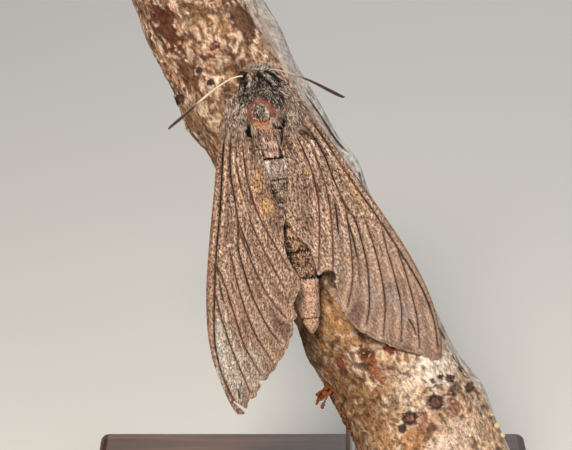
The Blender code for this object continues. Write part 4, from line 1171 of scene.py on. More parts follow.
# Body: one skin from the solids of the head, thorax, abdomen and palps, drawn in by the coat's depth
body = {
    "nodes": ["head", "thorax", "abdomen_front", "abdomen_middle", "abdomen_rear", "palp_left", "palp_right"],
    "eyes": ["eye_left", "eye_right"],
    "swell": 0.3,
    "voxel": 0.17,
    "eyeShrink": 0.12,
    # the middle of the body from the head back: x, y, z
    "line": [
        (-5.0, 27.4, 14.6), (-4.7, 24.7, 15.1), (-3.85, 19.8, 16.3), (-3.6, 16.8, 16.3), (-2.95, 14.1, 15.7),
        (-0.9, 5.0, 15.0), (0.35, 0.0, 14.6), (1.9, -6.0, 13.8), (3.2, -11.0, 12.8), (4.5, -18.6, 10.4),
    ],
    # coat depth by height: y, depth
    "depth": [(27.0, 0.3), (22.0, 0.45), (15.0, 0.4), (13.5, 0.14), (-18.0, 0.12)],
    # bald rust-red arch: points of its middle with its half width
    "arch": [
        (-5.5, 17.1, 0.4), (-6.0, 18.5, 0.42), (-5.85, 19.7, 0.38), (-4.75, 20.55, 0.34), (-3.3, 20.1, 0.52),
        (-2.45, 19.1, 0.64), (-2.1, 18.1, 0.5),
    ],
    "archRise": 0.16,
    # deep places beside the scutellum, sunk into the skin and painted near black as shade: x, y, half width,
    # half length
    "pits": [
        (-6.3, 16.0, 0.5, 1.5), (-5.4, 14.8, 1.2, 0.5), (-1.2, 16.4, 1.3, 0.75), (-0.5, 17.2, 0.5, 1.3),
        (-0.8, 14.4, 0.35, 1.3),
    ],
    # dark and pale lines of the hood, the brightest of them a painted highlight: points, colour, strength,
    # half width
    "stripes": [
        ([(-6.2, 25.2), (-7.2, 24.2), (-8.3, 22.7)], "#0f0c0c", 0.95, 0.32),
        ([(-6.5, 23.9), (-6.7, 22.8), (-6.9, 21.4)], "#0f0c0c", 0.8, 0.22),
        ([(-4.8, 24.9), (-3.7, 24.2), (-2.5, 23.0)], "#0f0c0c", 0.9, 0.26),
        ([(-3.3, 25.4), (-2.3, 24.8), (-1.4, 23.8)], "#0f0c0c", 0.9, 0.26),
        ([(-5.7, 24.8), (-6.0, 23.4), (-6.2, 21.8)], "#a39389", 0.6, 0.22),
        # painted highlight: a bluish-white line above the far right dark stripe
        ([(-3.0, 25.8), (-2.0, 25.3), (-1.1, 24.4)], "#c4bdbc", 0.8, 0.2),
        ([(-4.1, 25.2), (-3.1, 24.5), (-2.0, 23.4)], "#9a8b82", 0.6, 0.18),
    ],
    "segmentEnds": [11.0, 7.5, 3.7, -0.3, -4.5, -8.9, -15.6],
}
bodyPath = smoothPath(body["line"], 300)


def bodyFrame(points):
    # nearest place on the body's middle line: share along, way back, offset from it
    index = np.abs(points[:, 1][:, None] - bodyPath[:, 1][None]).argmin(axis=1)
    back = np.gradient(bodyPath, axis=0)
    back /= np.linalg.norm(back, axis=1)[:, None]
    return index / (len(bodyPath) - 1), back[index], points - bodyPath[index]


def makeSkin():
    # a copy of the solids, swollen until they join, remeshed, drawn in again and smoothed
    pick(*(nodes[name] for name in body["nodes"]))
    bpy.ops.object.duplicate()
    bpy.ops.object.join()
    skin = bpy.context.active_object
    for key in list(skin.keys()):
        del skin[key]
    skin.parent = None
    skin.name = "body_skin"
    skin.data.name = "body_skin"
    for name in body["eyes"]:
        low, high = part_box(name)
        centre, radius = (low + high) / 2, (high - low).x / 2
        deselect()
        radius -= body["eyeShrink"] * mm
        bpy.ops.mesh.primitive_uv_sphere_add(segments=32, ring_count=20, radius=radius, location=centre)
        pick(skin, bpy.context.active_object)
        bpy.ops.object.join()
    pick(skin)
    bpy.ops.object.mode_set(mode="EDIT")
    bpy.ops.mesh.select_all(action="SELECT")
    bpy.ops.mesh.remove_doubles(threshold=1e-6)
    bpy.ops.object.mode_set(mode="OBJECT")
    applyModifier(skin, "DISPLACE", strength=body["swell"] * mm, mid_level=0.0)
    applyModifier(skin, "REMESH", mode="VOXEL", voxel_size=body["voxel"] * mm)
    applyModifier(skin, "SMOOTH", factor=0.5, iterations=6)
    spot, out = places(skin), normals(skin)
    depth = np.array(body["depth"])[::-1]
    inward = body["swell"] + np.interp(spot[:, 1], depth[:, 0], depth[:, 1])
    moveTo(skin, spot - out * inward[:, None])
    applyModifier(skin, "SMOOTH", factor=0.5, iterations=2)
    spot, out = places(skin), normals(skin)
    _, _, offset = bodyFrame(spot)
    spot[:, 0] -= 0.12 * offset[:, 0] * smoothStep(-9.0, -12.5, spot[:, 1])
    top = smoothStep(0.1, 0.5, out[:, 2])
    bald, _ = archOf(spot)
    lift = body["archRise"] * bald * top
    for x, y, wide, long in body["pits"]:
        inside = np.hypot((spot[:, 0] - x) / wide, (spot[:, 1] - y) / long)
        lift -= 0.9 * np.exp(-(inside**2) * 1.2) * top
    spot[:, 2] += lift
    moveTo(skin, spot)
    bpy.ops.object.shade_smooth()
    spot, out = places(skin), normals(skin)
    paint(skin, bodyColours(spot, out))
    setAttribute(skin, "bald", archOf(spot)[0] * smoothStep(0.1, 0.5, out[:, 2]))
    return skin


def archOf(points):
    # how much each point lies on the bald arch, and its distance from the arch's middle
    arch = smoothPath(body["arch"], 60)
    away, share = fromLine(points[:, :2], arch[:, :2])
    wide = np.interp(share, np.linspace(0, 1, 60), arch[:, 2])
    return (1.0 - smoothStep(0.75, 1.2, away / wide)), away


def pitShadeOf(points):
    # how much each point lies in one of the gaps beside the scutellum, where near black is painted as shade
    inside = np.zeros(len(points))
    for x, y, wide, long in body["pits"]:
        across, along = (points[:, 0] - x) / wide, (points[:, 1] - y) / long
        inside = np.maximum(inside, np.exp(-(across**2) - along**2))
    return smoothStep(0.4, 0.5, inside * (1.0 + 0.5 * cloudy(points, 0.45, 24.0)))


def bodyColours(points, out):
    _, _, offset = bodyFrame(points)
    x, y = points[:, 0], points[:, 1]
    top = smoothStep(-0.15, 0.35, out[:, 2])
    sideways = offset[:, 0]
    wander = 0.5 * cloudy(points, 1.5, 4.0)
    colours = np.tile(hexColour("#a3887a")[:3], (len(points), 1))
    # hood of the head and the fore thorax
    hood = smoothStep(18.6, 19.8, y + wander) * smoothStep(27.4, 26.2, y + wander)
    narrow = smoothStep(5.6, 3.6, np.abs(sideways + 0.4))
    colours = blendColour(colours, hood * narrow * 0.97 * top, "#352b29")
    colours = blendColour(colours, smoothStep(25.3, 25.8, y + 0.5 * wander) * 0.85, "#a0918a")
    for line, tint, strength, wide in body["stripes"]:
        away, _ = fromLine(points[:, :2], smoothPath(line, 16))
        away = away + 0.1 * cloudy(points, 0.5, 54.0)
        colours = blendColour(colours, strength * np.exp(-((away / wide) ** 4)) * top, tint)
    streaks = cloudy(points * np.array([2.2, 0.5, 1.0]), 1.0, 14.0)
    outer = smoothStep(3.0, 4.2, np.abs(sideways))
    colours = blendColour(colours, smoothStep(0.1, 0.4, streaks) * outer * 0.7, "#d3bfae")
    spot = 1.0 - smoothStep(0.5, 0.9, np.hypot(x + 5.7, y - 25.2))
    colours = blendColour(colours, spot * 0.8, "#8a5d40")
    # thorax: the patch inside the arch, the scutellum with a painted highlight on its back half, the white
    # tuft and the painted shade in the gaps beside the scutellum
    inner = (1.0 - smoothStep(0.8, 1.2, np.hypot((x + 4.3) / 1.3, (y - 18.6) / 1.5))) * top
    colours = blendColour(colours, inner * 0.9, "#5b5049")
    rim = np.abs(np.hypot((x + 4.3) / 1.35, (y - 18.6) / 1.6) - 0.95)
    cream = (1.0 - smoothStep(0.15, 0.4, rim)) * top * smoothStep(-4.6, -3.2, x)
    colours = blendColour(colours, cream * 0.8, "#c9b8a2")
    shield = np.hypot((x + 3.9 + 0.35 * (y - 16.8)) / 1.5, (y - 16.9 - 0.3 * (x + 3.9)) / 0.8)
    shield = 1.0 - smoothStep(0.8, 1.15, shield)
    colours = blendColour(colours, shield * top, "#8e4f33")
    # painted highlight on the back half of the scutellum
    colours = blendColour(colours, shield * top * smoothStep(0.3, -0.3, y - 16.8) * 0.45, "#bb8a68")
    white = 1.0 - smoothStep(0.5, 0.85, np.hypot(x + 1.95, y - 17.2))
    colours = blendColour(colours, white * top * 0.9, "#cfc6bb")
    # near black painted as shade in the gaps beside the scutellum
    colours = blendColour(colours, pitShadeOf(points) * top, "#0c0807")
    # abdomen: the strip that shows between the wings, segment by segment
    for low, high, tint in (
        (14.2, 16.3, "#a07660"),
        (11.0, 14.2, "#b08c7e"),
        (7.5, 11.0, "#93827c"),
        (1.6, 7.5, "#8a7466"),
        (-0.3, 1.2, "#b3814f"),
        (-4.5, -0.3, "#bd8d6c"),
        (-8.9, -4.5, "#a67758"),
        (-15.6, -8.9, "#dfb297"),
        (-20.0, -15.6, "#f2c29a"),
    ):
        band = smoothStep(low - 0.1, low + 0.1, y) * (1.0 - smoothStep(high - 0.1, high + 0.1, y))
        near = 1.0 if low < 14.0 else smoothStep(2.4, 1.6, np.abs(sideways))
        colours = blendColour(colours, band * near * (0.3 + 0.7 * top), tint)
    abdomen = smoothStep(14.2, 13.8, y)
    # the species' side bands: each segment pink in front, white then black behind
    ends = np.array([14.1, *body["segmentEnds"], -18.2])
    flank = abdomen * smoothStep(1.9, 2.7, np.abs(sideways)) * smoothStep(-0.75, -0.3, out[:, 2])
    flank = flank * smoothStep(-13.0, -9.0, y)
    place = np.zeros(len(points))
    for fore, hind in zip(ends, ends[1:]):
        here = (y <= fore) & (y > hind)
        place[here] = (fore - y[here]) / (fore - hind)
    pink = smoothStep(0.06, 0.14, place) * (1.0 - smoothStep(0.5, 0.58, place))
    black = smoothStep(0.62, 0.68, place) * (1.0 - smoothStep(0.92, 0.97, place))
    pale = smoothStep(0.9, 0.95, place) + smoothStep(0.08, 0.02, place)
    colours = blendColour(colours, flank * pink * 0.85, "#b4685c")
    colours = blendColour(colours, flank * black * 0.9, "#241a19")
    colours = blendColour(colours, flank * pale * 0.8, "#d9cfc4")
    # edges of the strip: white beside the pale segment, black before it, then painted shadow from the left
    # wing's inner edge
    shownSide = np.abs(sideways - 0.4 + 0.35 * smoothStep(10.5, 11.5, y))
    edge = smoothStep(1.15, 1.4, shownSide) * smoothStep(2.5, 2.1, shownSide)
    edge = edge * smoothStep(8.0, 9.4, y) * smoothStep(11.0, 10.8, y)
    colours = blendColour(colours, edge * 0.95, "#efe9e3")
    side = smoothStep(1.25, 1.4, shownSide) * smoothStep(2.8, 2.6, shownSide)
    side = side * smoothStep(10.9, 11.2, y) * smoothStep(14.6, 14.0, y)
    colours = blendColour(colours, side * 0.95, "#171010")
    # painted shadow of the left wing's inner edge down the left side of the abdomen
    leftWingShadow = smoothStep(-0.7, -1.05, sideways - 0.4 + 0.25 * wander)
    leftWingShadow = leftWingShadow * smoothStep(7.0, 5.5, y) * smoothStep(-14.5, -9.0, y)
    colours = blendColour(colours, leftWingShadow * 0.85, "#1a1210")
    specks = smoothStep(0.04, 0.18, cloudy(points, 0.55, 74.0)) * top * smoothStep(7.5, 7.0, y)
    colours = blendColour(colours, specks * (0.3 + 0.55 * smoothStep(-9.2, -8.6, y)), "#21160f")
    # the black line at the end of each segment, toothed and broad on some
    for index, end in enumerate(body["segmentEnds"]):
        tooth = 0.15 * np.sin(13.0 * sideways) if index in (3, 4, 5) else 0.05 * np.sin(9.0 * sideways)
        broad = 0.3 if index in (0, 3, 4, 5) else 0.14
        line = np.exp(-(((y - end - 0.12 * sideways + tooth) / broad) ** 4))
        colours = blendColour(colours, line * abdomen, "#0d0908")
    under = smoothStep(-0.2, -0.7, out[:, 2])
    colours = blendColour(colours, under * 0.7, "#a5958a")
    bald = archOf(points)[0] * top
    rusty = smoothStep(-0.1, 0.4, cloudy(points, 0.7, 34.0))
    stained = smoothStep(0.0, 0.3, cloudy(points, 0.4, 44.0))
    colours = blendColour(colours, bald * 0.97, "#67301f")
    colours = blendColour(colours, bald * rusty * 0.55, "#8c4a33")
    colours = blendColour(colours, bald * stained * 0.65, "#35180f")
    return colours


skin = makeSkin()
print("body skin made", len(skin.data.polygons), "faces")
skinTree = BVHTree.FromObject(skin, bpy.context.evaluated_depsgraph_get())


def skinMaterial():
    # insect skin under short down: dull and finely pitted, with a soft gloss on the bald arch
    material, tree, shader = startMaterial("moth_skin")
    tint = addNode(tree, "ShaderNodeAttribute", attribute_name="paint")
    bald = addNode(tree, "ShaderNodeAttribute", attribute_name="bald")
    place = addNode(tree, "ShaderNodeTexCoord")
    down = addNode(
        tree,
        "ShaderNodeTexNoise",
        {"Vector": place.outputs["Object"], "Scale": 2400.0, "Detail": 4.0, "Roughness": 0.8},
    )
    light = addNode(
        tree,
        "ShaderNodeMapRange",
        {"Value": down.outputs["Fac"], "From Min": 0.34, "From Max": 0.66, "To Min": 0.3, "To Max": 1.7},
    )
    calm = addNode(tree, "ShaderNodeMix", {0: bald.outputs["Fac"], 2: light.outputs["Result"], 3: 1.0})
    shaded = addNode(
        tree, "ShaderNodeVectorMath", {0: tint.outputs["Color"], "Scale": calm.outputs[0]}, operation="SCALE"
    )
    tree.links.new(shaded.outputs["Vector"], shader.inputs["Base Color"])
    gloss = addNode(tree, "ShaderNodeMapRange", {"Value": bald.outputs["Fac"], "To Min": 0.8, "To Max": 0.62})
    tree.links.new(gloss.outputs["Result"], shader.inputs["Roughness"])
    bump = addNode(
        tree, "ShaderNodeBump", {"Height": down.outputs["Fac"], "Distance": 0.00012, "Strength": 0.6}
    )
    tree.links.new(bump.outputs["Normal"], shader.inputs["Normal"])
    return material


def wingMaterial(name):
    # moth scales on membrane: matt, powdery rows of tiny flat scales about 0.25 mm apart in the render
    material, tree, shader = startMaterial(name)
    tint = addNode(tree, "ShaderNodeAttribute", attribute_name="paint")
    place = addNode(tree, "ShaderNodeAttribute", attribute_name="wingFlat")
    grain = addNode(tree, "ShaderNodeMapping", {"Vector": place.outputs["Vector"], "Scale": (0.62, 1.0, 1.0)})
    speck = addNode(
        tree,
        "ShaderNodeTexNoise",
        {"Vector": grain.outputs["Vector"], "Scale": 3.1, "Detail": 3.0, "Roughness": 0.8},
    )
    flecks = addNode(tree, "ShaderNodeTexVoronoi", {"Vector": grain.outputs["Vector"], "Scale": 3.6})
    light = addNode(
        tree,
        "ShaderNodeMapRange",
        {"Value": speck.outputs["Fac"], "From Min": 0.4, "From Max": 0.6, "To Min": 0.15, "To Max": 1.9},
    )
    flake = addNode(
        tree, "ShaderNodeMapRange", {"Value": flecks.outputs["Color"], "To Min": 0.65, "To Max": 1.35}
    )
    drawn = addNode(tree, "ShaderNodeMapping", {"Vector": place.outputs["Vector"], "Scale": (0.28, 1.0, 1.0)})
    dash = addNode(
        tree,
        "ShaderNodeTexNoise",
        {"Vector": drawn.outputs["Vector"], "Scale": 2.7, "Detail": 2.0, "Roughness": 0.6},
    )
    dark = addNode(
        tree,
        "ShaderNodeMapRange",
        {"Value": dash.outputs["Fac"], "From Min": 0.54, "From Max": 0.66, "To Min": 1.0, "To Max": 0.4},
    )
    fine = addNode(
        tree, "ShaderNodeMath", {0: light.outputs["Result"], 1: flake.outputs["Result"]}, operation="MULTIPLY"
    )
    both = addNode(
        tree, "ShaderNodeMath", {0: fine.outputs["Value"], 1: dark.outputs["Result"]}, operation="MULTIPLY"
    )
    vein = addNode(tree, "ShaderNodeAttribute", attribute_name="veinCore")
    clear = addNode(tree, "ShaderNodeMix", {0: vein.outputs["Fac"], 2: both.outputs["Value"], 3: 0.9})
    shaded = addNode(
        tree, "ShaderNodeVectorMath", {0: tint.outputs["Color"], "Scale": clear.outputs[0]}, operation="SCALE"
    )
    tree.links.new(shaded.outputs["Vector"], shader.inputs["Base Color"])
    shader.inputs["Roughness"].default_value = 0.78
    shader.inputs["Specular IOR Level"].default_value = 0.1
    bump = addNode(
        tree, "ShaderNodeBump", {"Height": both.outputs["Value"], "Distance": 0.00007, "Strength": 0.8}
    )
    tree.links.new(bump.outputs["Normal"], shader.inputs["Normal"])
    return material


mothSkin = skinMaterial()
wear(skin, mothSkin)
finishPiece(skin, "grey_down", *body["nodes"])
foreScales, hindScales = wingMaterial("forewing_scales"), wingMaterial("hindwing_scales")
wingOf = {}
for side in ("left", "right"):
    wingOf[side] = makeWing("forewing_" + side + "_scaled", side, forewing, 0.0)
    wear(wingOf[side], foreScales)
    finishPiece(wingOf[side], "wing", "forewing_" + side)
    hind = makeWing("hindwing_" + side + "_scaled", side, hindwing, wings["hindDrop"])
    wear(hind, hindScales)
    finishPiece(hind, "hindwing", "hindwing_" + side)
print("wings made")


# Coat: solid tapered tufts that lie back along the body
def bodyUnwrap(points, low, high):
    # the skin unrolled round the body's middle line between two heights
    _, _, offset = bodyFrame(points)
    around = np.arctan2(offset[:, 0], -offset[:, 2]) / (2 * math.pi) + 0.5
    along = (points[:, 1] - low) / (high - low)
    return 0.02 + 0.96 * np.stack([around, np.clip(along, 0.0, 1.0)], axis=1)


# on the abdomen the tufts are short flat scales, paler and less clumped
flatTufts = {
    "sink": 0.06,
    "paleShare": 0.34,
    "pale": 0.7,
    "paleColour": "#ecccb2",
    "darkShare": 0.15,
    "dark": 0.8,
    "clump": 0.6,
}
coats = {
    "head_coat": {
        "count": 11500,
        "low": 21.6,
        "high": 28.5,
        "length": (0.7, 1.3),
        "width": (0.1, 0.17),
        "lift": (0.1, 0.34),
        "spreadDeg": 16.0,
    },
    "thorax_coat": {
        "count": 12400,
        "low": 13.2,
        "high": 23.4,
        "length": (0.9, 1.6),
        "width": (0.11, 0.17),
        "lift": (0.04, 0.2),
        "spreadDeg": 13.0,
    },
    "abdomen_coat": {
        "count": 19500,
        "rings": 2,
        "low": -19.5,
        "high": 14.6,
        "length": (0.3, 0.55),
        "width": (0.12, 0.2),
        "lift": (0.03, 0.14),
        "spreadDeg": 12.0,
    },
}


def bodyLie(points):
    # hair runs back from the front of the head, spreads over the shoulders and follows the abdomen
    _, back, offset = bodyFrame(points)
    outward = points - np.array([-4.9, 28.6, 14.4])
    outward /= np.linalg.norm(outward, axis=1)[:, None]
    # in front of the antennae it points forwards in a round tuft, and beside them it falls over the eyes
    forward = points - np.array([-4.7, 20.5, 13.2])
    forward /= np.linalg.norm(forward, axis=1)[:, None]
    outward += (forward - outward) * smoothStep(25.0, 25.7, points[:, 1])[:, None]
    brow = np.sign(offset[:, 0]) * smoothStep(1.2, 2.2, np.abs(offset[:, 0]))
    brow = brow * smoothStep(22.8, 23.8, points[:, 1])
    outward[:, 0] += 0.9 * brow
    head = smoothStep(20.0, 25.0, points[:, 1])[:, None]
    fan = 0.04 * offset * np.array([1.0, 0.0, 0.0])
    fan *= (smoothStep(12.0, 15.0, points[:, 1]) * smoothStep(24.0, 21.0, points[:, 1]))[:, None]
    swirl = 0.35 * np.stack([cloudy(points, 2.2, seed) for seed in (71.0, 72.0, 73.0)], axis=1)
    swirl *= smoothStep(12.0, 16.0, points[:, 1])[:, None]
    return outward * head + back * (1 - head) + fan + swirl


def makeCoat(name, seed):
    coat = {**tuftForm, **(flatTufts if name == "abdomen_coat" else {}), **coats[name]}

    def weight(middle, facing, corner):
        # nothing grows on the arch, in the pits, on the scutellum or over the eyes, and most where it shows
        upwards = facing[:, 2] > 0.0
        inside = (middle[:, 1] > coat["low"]) & (middle[:, 1] < coat["high"])
        bald = archOf(middle)[0] * upwards
        pit = pitShadeOf(middle) * upwards
        scutellum = np.hypot((middle[:, 0] + 3.9) / 1.4, (middle[:, 1] - 16.8) / 0.8) < 1.0
        eyes = np.ones(len(middle))
        for eye in body["eyes"]:
            low, high = (toViewer(np.array(v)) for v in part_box(eye))
            centre = (low + high) / 2
            reach = np.linalg.norm(middle - centre, axis=1) + 0.6 * (facing[:, 2] > 0.3)
            eyes *= smoothStep(1.1, 1.35, reach)
        shown = np.where(upwards & (middle[:, 1] < 14.0), 2.2, 1.0)
        return inside * (1 - bald) * (1 - pit) * eyes * shown * np.where(scutellum & upwards, 0.0, 1.0)

    roots, up, _, _ = scatter(skin, coat["count"], seed, weight)
    # the hair round the bald arch and the scutellum is short, so that they stay in sight
    shorter = 0.42 + 0.58 * smoothStep(0.6, 2.0, archOf(roots)[1])
    shorter *= 1.0 - 0.45 * smoothStep(26.0, 27.0, roots[:, 1])
    unrolled = bodyUnwrap(roots, coat["low"], coat["high"])
    colourAt = lambda spots: bodyColours(spots, up)
    piece = growTufts(name, roots, up, bodyLie(roots), colourAt, unrolled, coat, seed, shorter)
    wear(piece, hair if name != "abdomen_coat" else flatScales)
    finishPiece(piece, "brown_down" if name == "abdomen_coat" else "grey_down")


hair = hairMaterial("hair_scales", 0.65)
flatScales = hairMaterial("flat_scales", 0.6)
for seed, name in enumerate(coats, 5):
    makeCoat(name, seed)
print("body coat made")


# Long hair-scales lie over the wing bases
wingHair = {
    **tuftForm,
    "count": 3800,
    "reach": 6.5,
    "length": (0.7, 1.5),
    "width": (0.07, 0.13),
    "lift": (0.0, 0.06),
    "spreadDeg": 6.0,
    "sink": 0.06,
    "curl": 0.05,
    "paleShare": 0.25,
    "pale": 0.45,
    "darkShare": 0.2,
    "dark": 0.5,
}


def makeWingHair(side, seed):
    wing = wingOf[side]
    flat = readAttribute(wing, "wingFlat", 3, "vector")
    aim = np.array([*wings["aim"][side], 0.0])

    def weight(middle, facing, corner):
        along = flat[corner, 0].mean(axis=1)
        return smoothStep(wingHair["reach"], 2.0, along) ** 1.6 * (facing[:, 2] > 0.2) * (1 - pitShadeOf(middle))

    roots, up, corner, shares = scatter(wing, wingHair["count"], seed, weight)
    colours = paintAt(wing, corner, shares)
    place = (flat[corner] * shares).sum(axis=1)
    # it fans out from the wing's axis near the root
    lie = np.tile(aim, (len(roots), 1))
    inward = 1.0 if side == "left" else -1.0
    lie[:, 0] += 3.0 * (place[:, 1] - 2.0) * inward * smoothStep(12.0, 4.0, place[:, 0])
    outwards, backwards = place[:, 0] / (wingHair["reach"] + 3.0), (place[:, 1] + 3.0) / 12.0
    uv = 0.02 + 0.96 * np.stack([np.clip(outwards, 0, 1), np.clip(backwards, 0, 1)], axis=1)
    piece = growTufts("wing_hair_" + side, roots, up, lie, lambda spots: colours, uv, wingHair, seed)
    wear(piece, hair)
    finishPiece(piece, "wing")


for seed, side in enumerate(("left", "right"), 31):
    makeWingHair(side, seed)
print("wing hair made")


# Eyes: large dark brown domes of tiny facets, wet-looking
eyeForm = {"flatten": 0.15, "narrow": 0.06, "facetRows": 30.0, "facetDepth": 0.012}


def eyeMaterial():
    # facets of a compound eye, about 0.1 mm across in the render so that they show
    material, tree, shader = startMaterial("compound_eye")
    place = addNode(tree, "ShaderNodeTexCoord")
    facets = addNode(tree, "ShaderNodeTexVoronoi", {"Vector": place.outputs["Object"], "Scale": 8000.0})
    cloud = addNode(
        tree, "ShaderNodeTexNoise", {"Vector": place.outputs["Object"], "Scale": 900.0, "Detail": 2.0}
    )
    tone = addNode(
        tree, "ShaderNodeValToRGB", {"Fac": cloud.outputs["Fac"]}, [(0.3, "#1a0f0d"), (0.7, "#4a2a1e")]
    )
    tree.links.new(tone.outputs["Color"], shader.inputs["Base Color"])
    shader.inputs["Roughness"].default_value = 0.18
    shader.inputs["Coat Weight"].default_value = 0.4
    bump = addNode(
        tree, "ShaderNodeBump", {"Height": facets.outputs["Distance"], "Distance": 0.00003, "Strength": 0.5}
    )
    tree.links.new(bump.outputs["Normal"], shader.inputs["Normal"])
    return material


compoundEye = eyeMaterial()
for name in body["eyes"]:
    low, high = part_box(name)
    deselect()
    bpy.ops.mesh.primitive_uv_sphere_add(
        segments=96, ring_count=60, radius=(high - low).x / 2, location=(low + high) / 2
    )
    eye = bpy.context.active_object
    eye.name = name + "_dome"
    bpy.ops.object.transform_apply(location=True, rotation=True, scale=True)
    # flatter towards the head, a little drawn out forwards, with rows of facets
    spot, out = places(eye), normals(eye)
    centre = spot.mean(axis=0)
    ray = (spot - centre) / (np.linalg.norm(spot - centre, axis=1).max())
    inward = ray[:, 0] if name == "eye_left" else -ray[:, 0]
    turn, rise = np.arctan2(ray[:, 1], ray[:, 0]), np.arcsin(np.clip(ray[:, 2], -1.0, 1.0))
    rows = np.cos(eyeForm["facetRows"] * turn) * np.cos(eyeForm["facetRows"] * rise)
    depth = eyeForm["flatten"] * np.clip(inward, 0.0, None) + eyeForm["narrow"] * np.abs(ray[:, 1])
    moveTo(eye, spot - out * (depth + eyeForm["facetDepth"] * (1.0 - rows))[:, None])
    bpy.ops.object.shade_smooth()
    wear(eye, compoundEye)
    finishPiece(eye, "eye", name)
print("eyes made")


# Antennae: tapered, ringed rods, cream above and dark below, with a hooked tip
antennae = {
    "left": [
        (-6.2, 24.4, 15.6), (-7.8, 24.7, 16.2), (-10.2, 23.7, 16.2), (-13.5, 21.3, 15.4), (-16.5, 18.7, 14.2),
        (-19.1, 16.6, 13.2), (-19.7, 16.0, 12.9),
    ],
    "right": [
        (-3.6, 25.2, 15.7), (-2.4, 25.85, 16.3), (0.7, 25.2, 16.5), (4.0, 24.0, 16.0), (7.3, 22.4, 15.1),
        (9.2, 21.5, 14.5), (9.85, 21.35, 14.3),
    ],
    "radii": [0.15, 0.14, 0.15, 0.2, 0.3, 0.25, 0.07],
    "ringsEach": 56,
    "sides": 14,
    "ribHeight": 0.09,
    # the share of the way along over which the dark outer part sets in
    "outerFrom": {"left": (0.52, 0.66), "right": (0.3, 0.55)},
    "topColour": {"left": "#cdbba9", "right": "#ac9688"},
    "outerColour": {"left": "#3a2a27", "right": "#3a2427"},
    "underColour": {"left": "#2e2220", "right": "#24161a"},
}


def rodRings(path, radii, sides, ribs=0.0, ribCount=1):
    # rings of points round a path, with raised ribs, and how far each point faces upwards
    along = np.gradient(path, axis=0)
    along /= np.linalg.norm(along, axis=1)[:, None]
    above = np.array([0.0, 0.0, 1.0])
    side = np.cross(along, above)
    side /= np.linalg.norm(side, axis=1)[:, None]
    top = np.cross(side, along)
    turns = np.linspace(0.0, 2 * math.pi, sides + 1)
    wave = 1.0 + ribs * np.sin(np.linspace(0.0, 2 * math.pi * ribCount, len(path)))
    reach = (radii * wave)[:, None, None]
    ring = np.cos(turns)[None, :, None] * side[:, None] + np.sin(turns)[None, :, None] * top[:, None]
    net = path[:, None] + reach * ring
    return net, np.broadcast_to(np.sin(turns), net.shape[:2])


hornScales = hairMaterial("antenna_scales", 0.6)
for side in ("left", "right"):
    points = [(*p, r) for p, r in zip(antennae[side], antennae["radii"])]
    route = smoothPath(points, antennae["ringsEach"] * 6)
    form = (antennae["sides"], antennae["ribHeight"], antennae["ringsEach"])
    net, height = rodRings(route[:, :3], route[:, 3], *form)
    colours = np.tile(hexColour(antennae["underColour"][side])[:3], (height.size, 1))
    share = np.broadcast_to(np.linspace(0, 1, len(route))[:, None], height.shape).ravel()
    speck = cloudy(net.reshape(-1, 3), 0.2, 7.0)
    above = smoothStep(-0.1, 0.4, height.ravel() + 0.4 * speck + 0.25 * smoothStep(0.7, 0.5, share))
    outer = smoothStep(*antennae["outerFrom"][side], share + 0.03 * speck)
    colours = blendColour(colours, above, antennae["topColour"][side])
    # the outer part is dark above, with a pale edge on each side
    crown = smoothStep(0.55, 0.8, height.ravel() + 0.1 * speck)
    colours = blendColour(colours, outer * (0.25 + 0.75 * crown), antennae["outerColour"][side])
    horn = gridSheet("antenna_" + side + "_ringed", net)
    paint(horn, colours)
    closeShell()
    wear(horn, hornScales)
    finishPiece(horn, "antenna", "antenna_" + side)
print("antennae made")


# Legs: femur and shin under short scales, a jointed foot with two claws and two spurs
legs = {
    # hip, knee, ankle and foot; the foot's height comes from the bark
    "leg_fore_left": [(-6.0, 20.6, 13.6), (-8.3, 21.4, 12.6), (-7.8, 22.6, 11.9), (-7.2, 23.8, 0.0)],
    "leg_fore_right": [(-2.2, 21.0, 13.6), (0.3, 21.8, 12.6), (-0.3, 23.0, 11.8), (-1.3, 24.2, 0.0)],
    "leg_mid_left": [(-8.2, 18.0, 13.6), (-10.4, 17.4, 12.9), (-10.7, 15.6, 11.6), (-10.2, 13.4, 0.0)],
    "leg_mid_right": [(0.4, 18.0, 13.8), (3.3, 17.6, 13.8), (4.6, 15.6, 12.0), (4.9, 13.2, 0.0)],
    "leg_hind_left": [(-6.6, 15.8, 13.4), (-9.6, 13.2, 13.4), (-9.0, 9.6, 11.2), (-7.4, 5.6, 0.0)],
    "leg_hind_right": [(0.9, 16.6, 13.4), (4.3, 13.4, 14.2), (6.0, 8.4, 12.9), (7.0, 4.2, 0.0)],
}
legForm = {
    "radii": [0.7, 0.45, 0.38, 0.28],
    "footRadius": 0.27,
    "toeRadius": 0.2,
    "footLength": 2.4,
    # how far the middle of the foot lies over the bark: its half thickness, the gap and the bark's relief
    "clear": 0.3 + 0.3 + 0.25,
    "steps": 120,
    "sides": 14,
    # the steps between which the spurs stand
    "spurSteps": (66, 76),
    "hairs": 900,
}


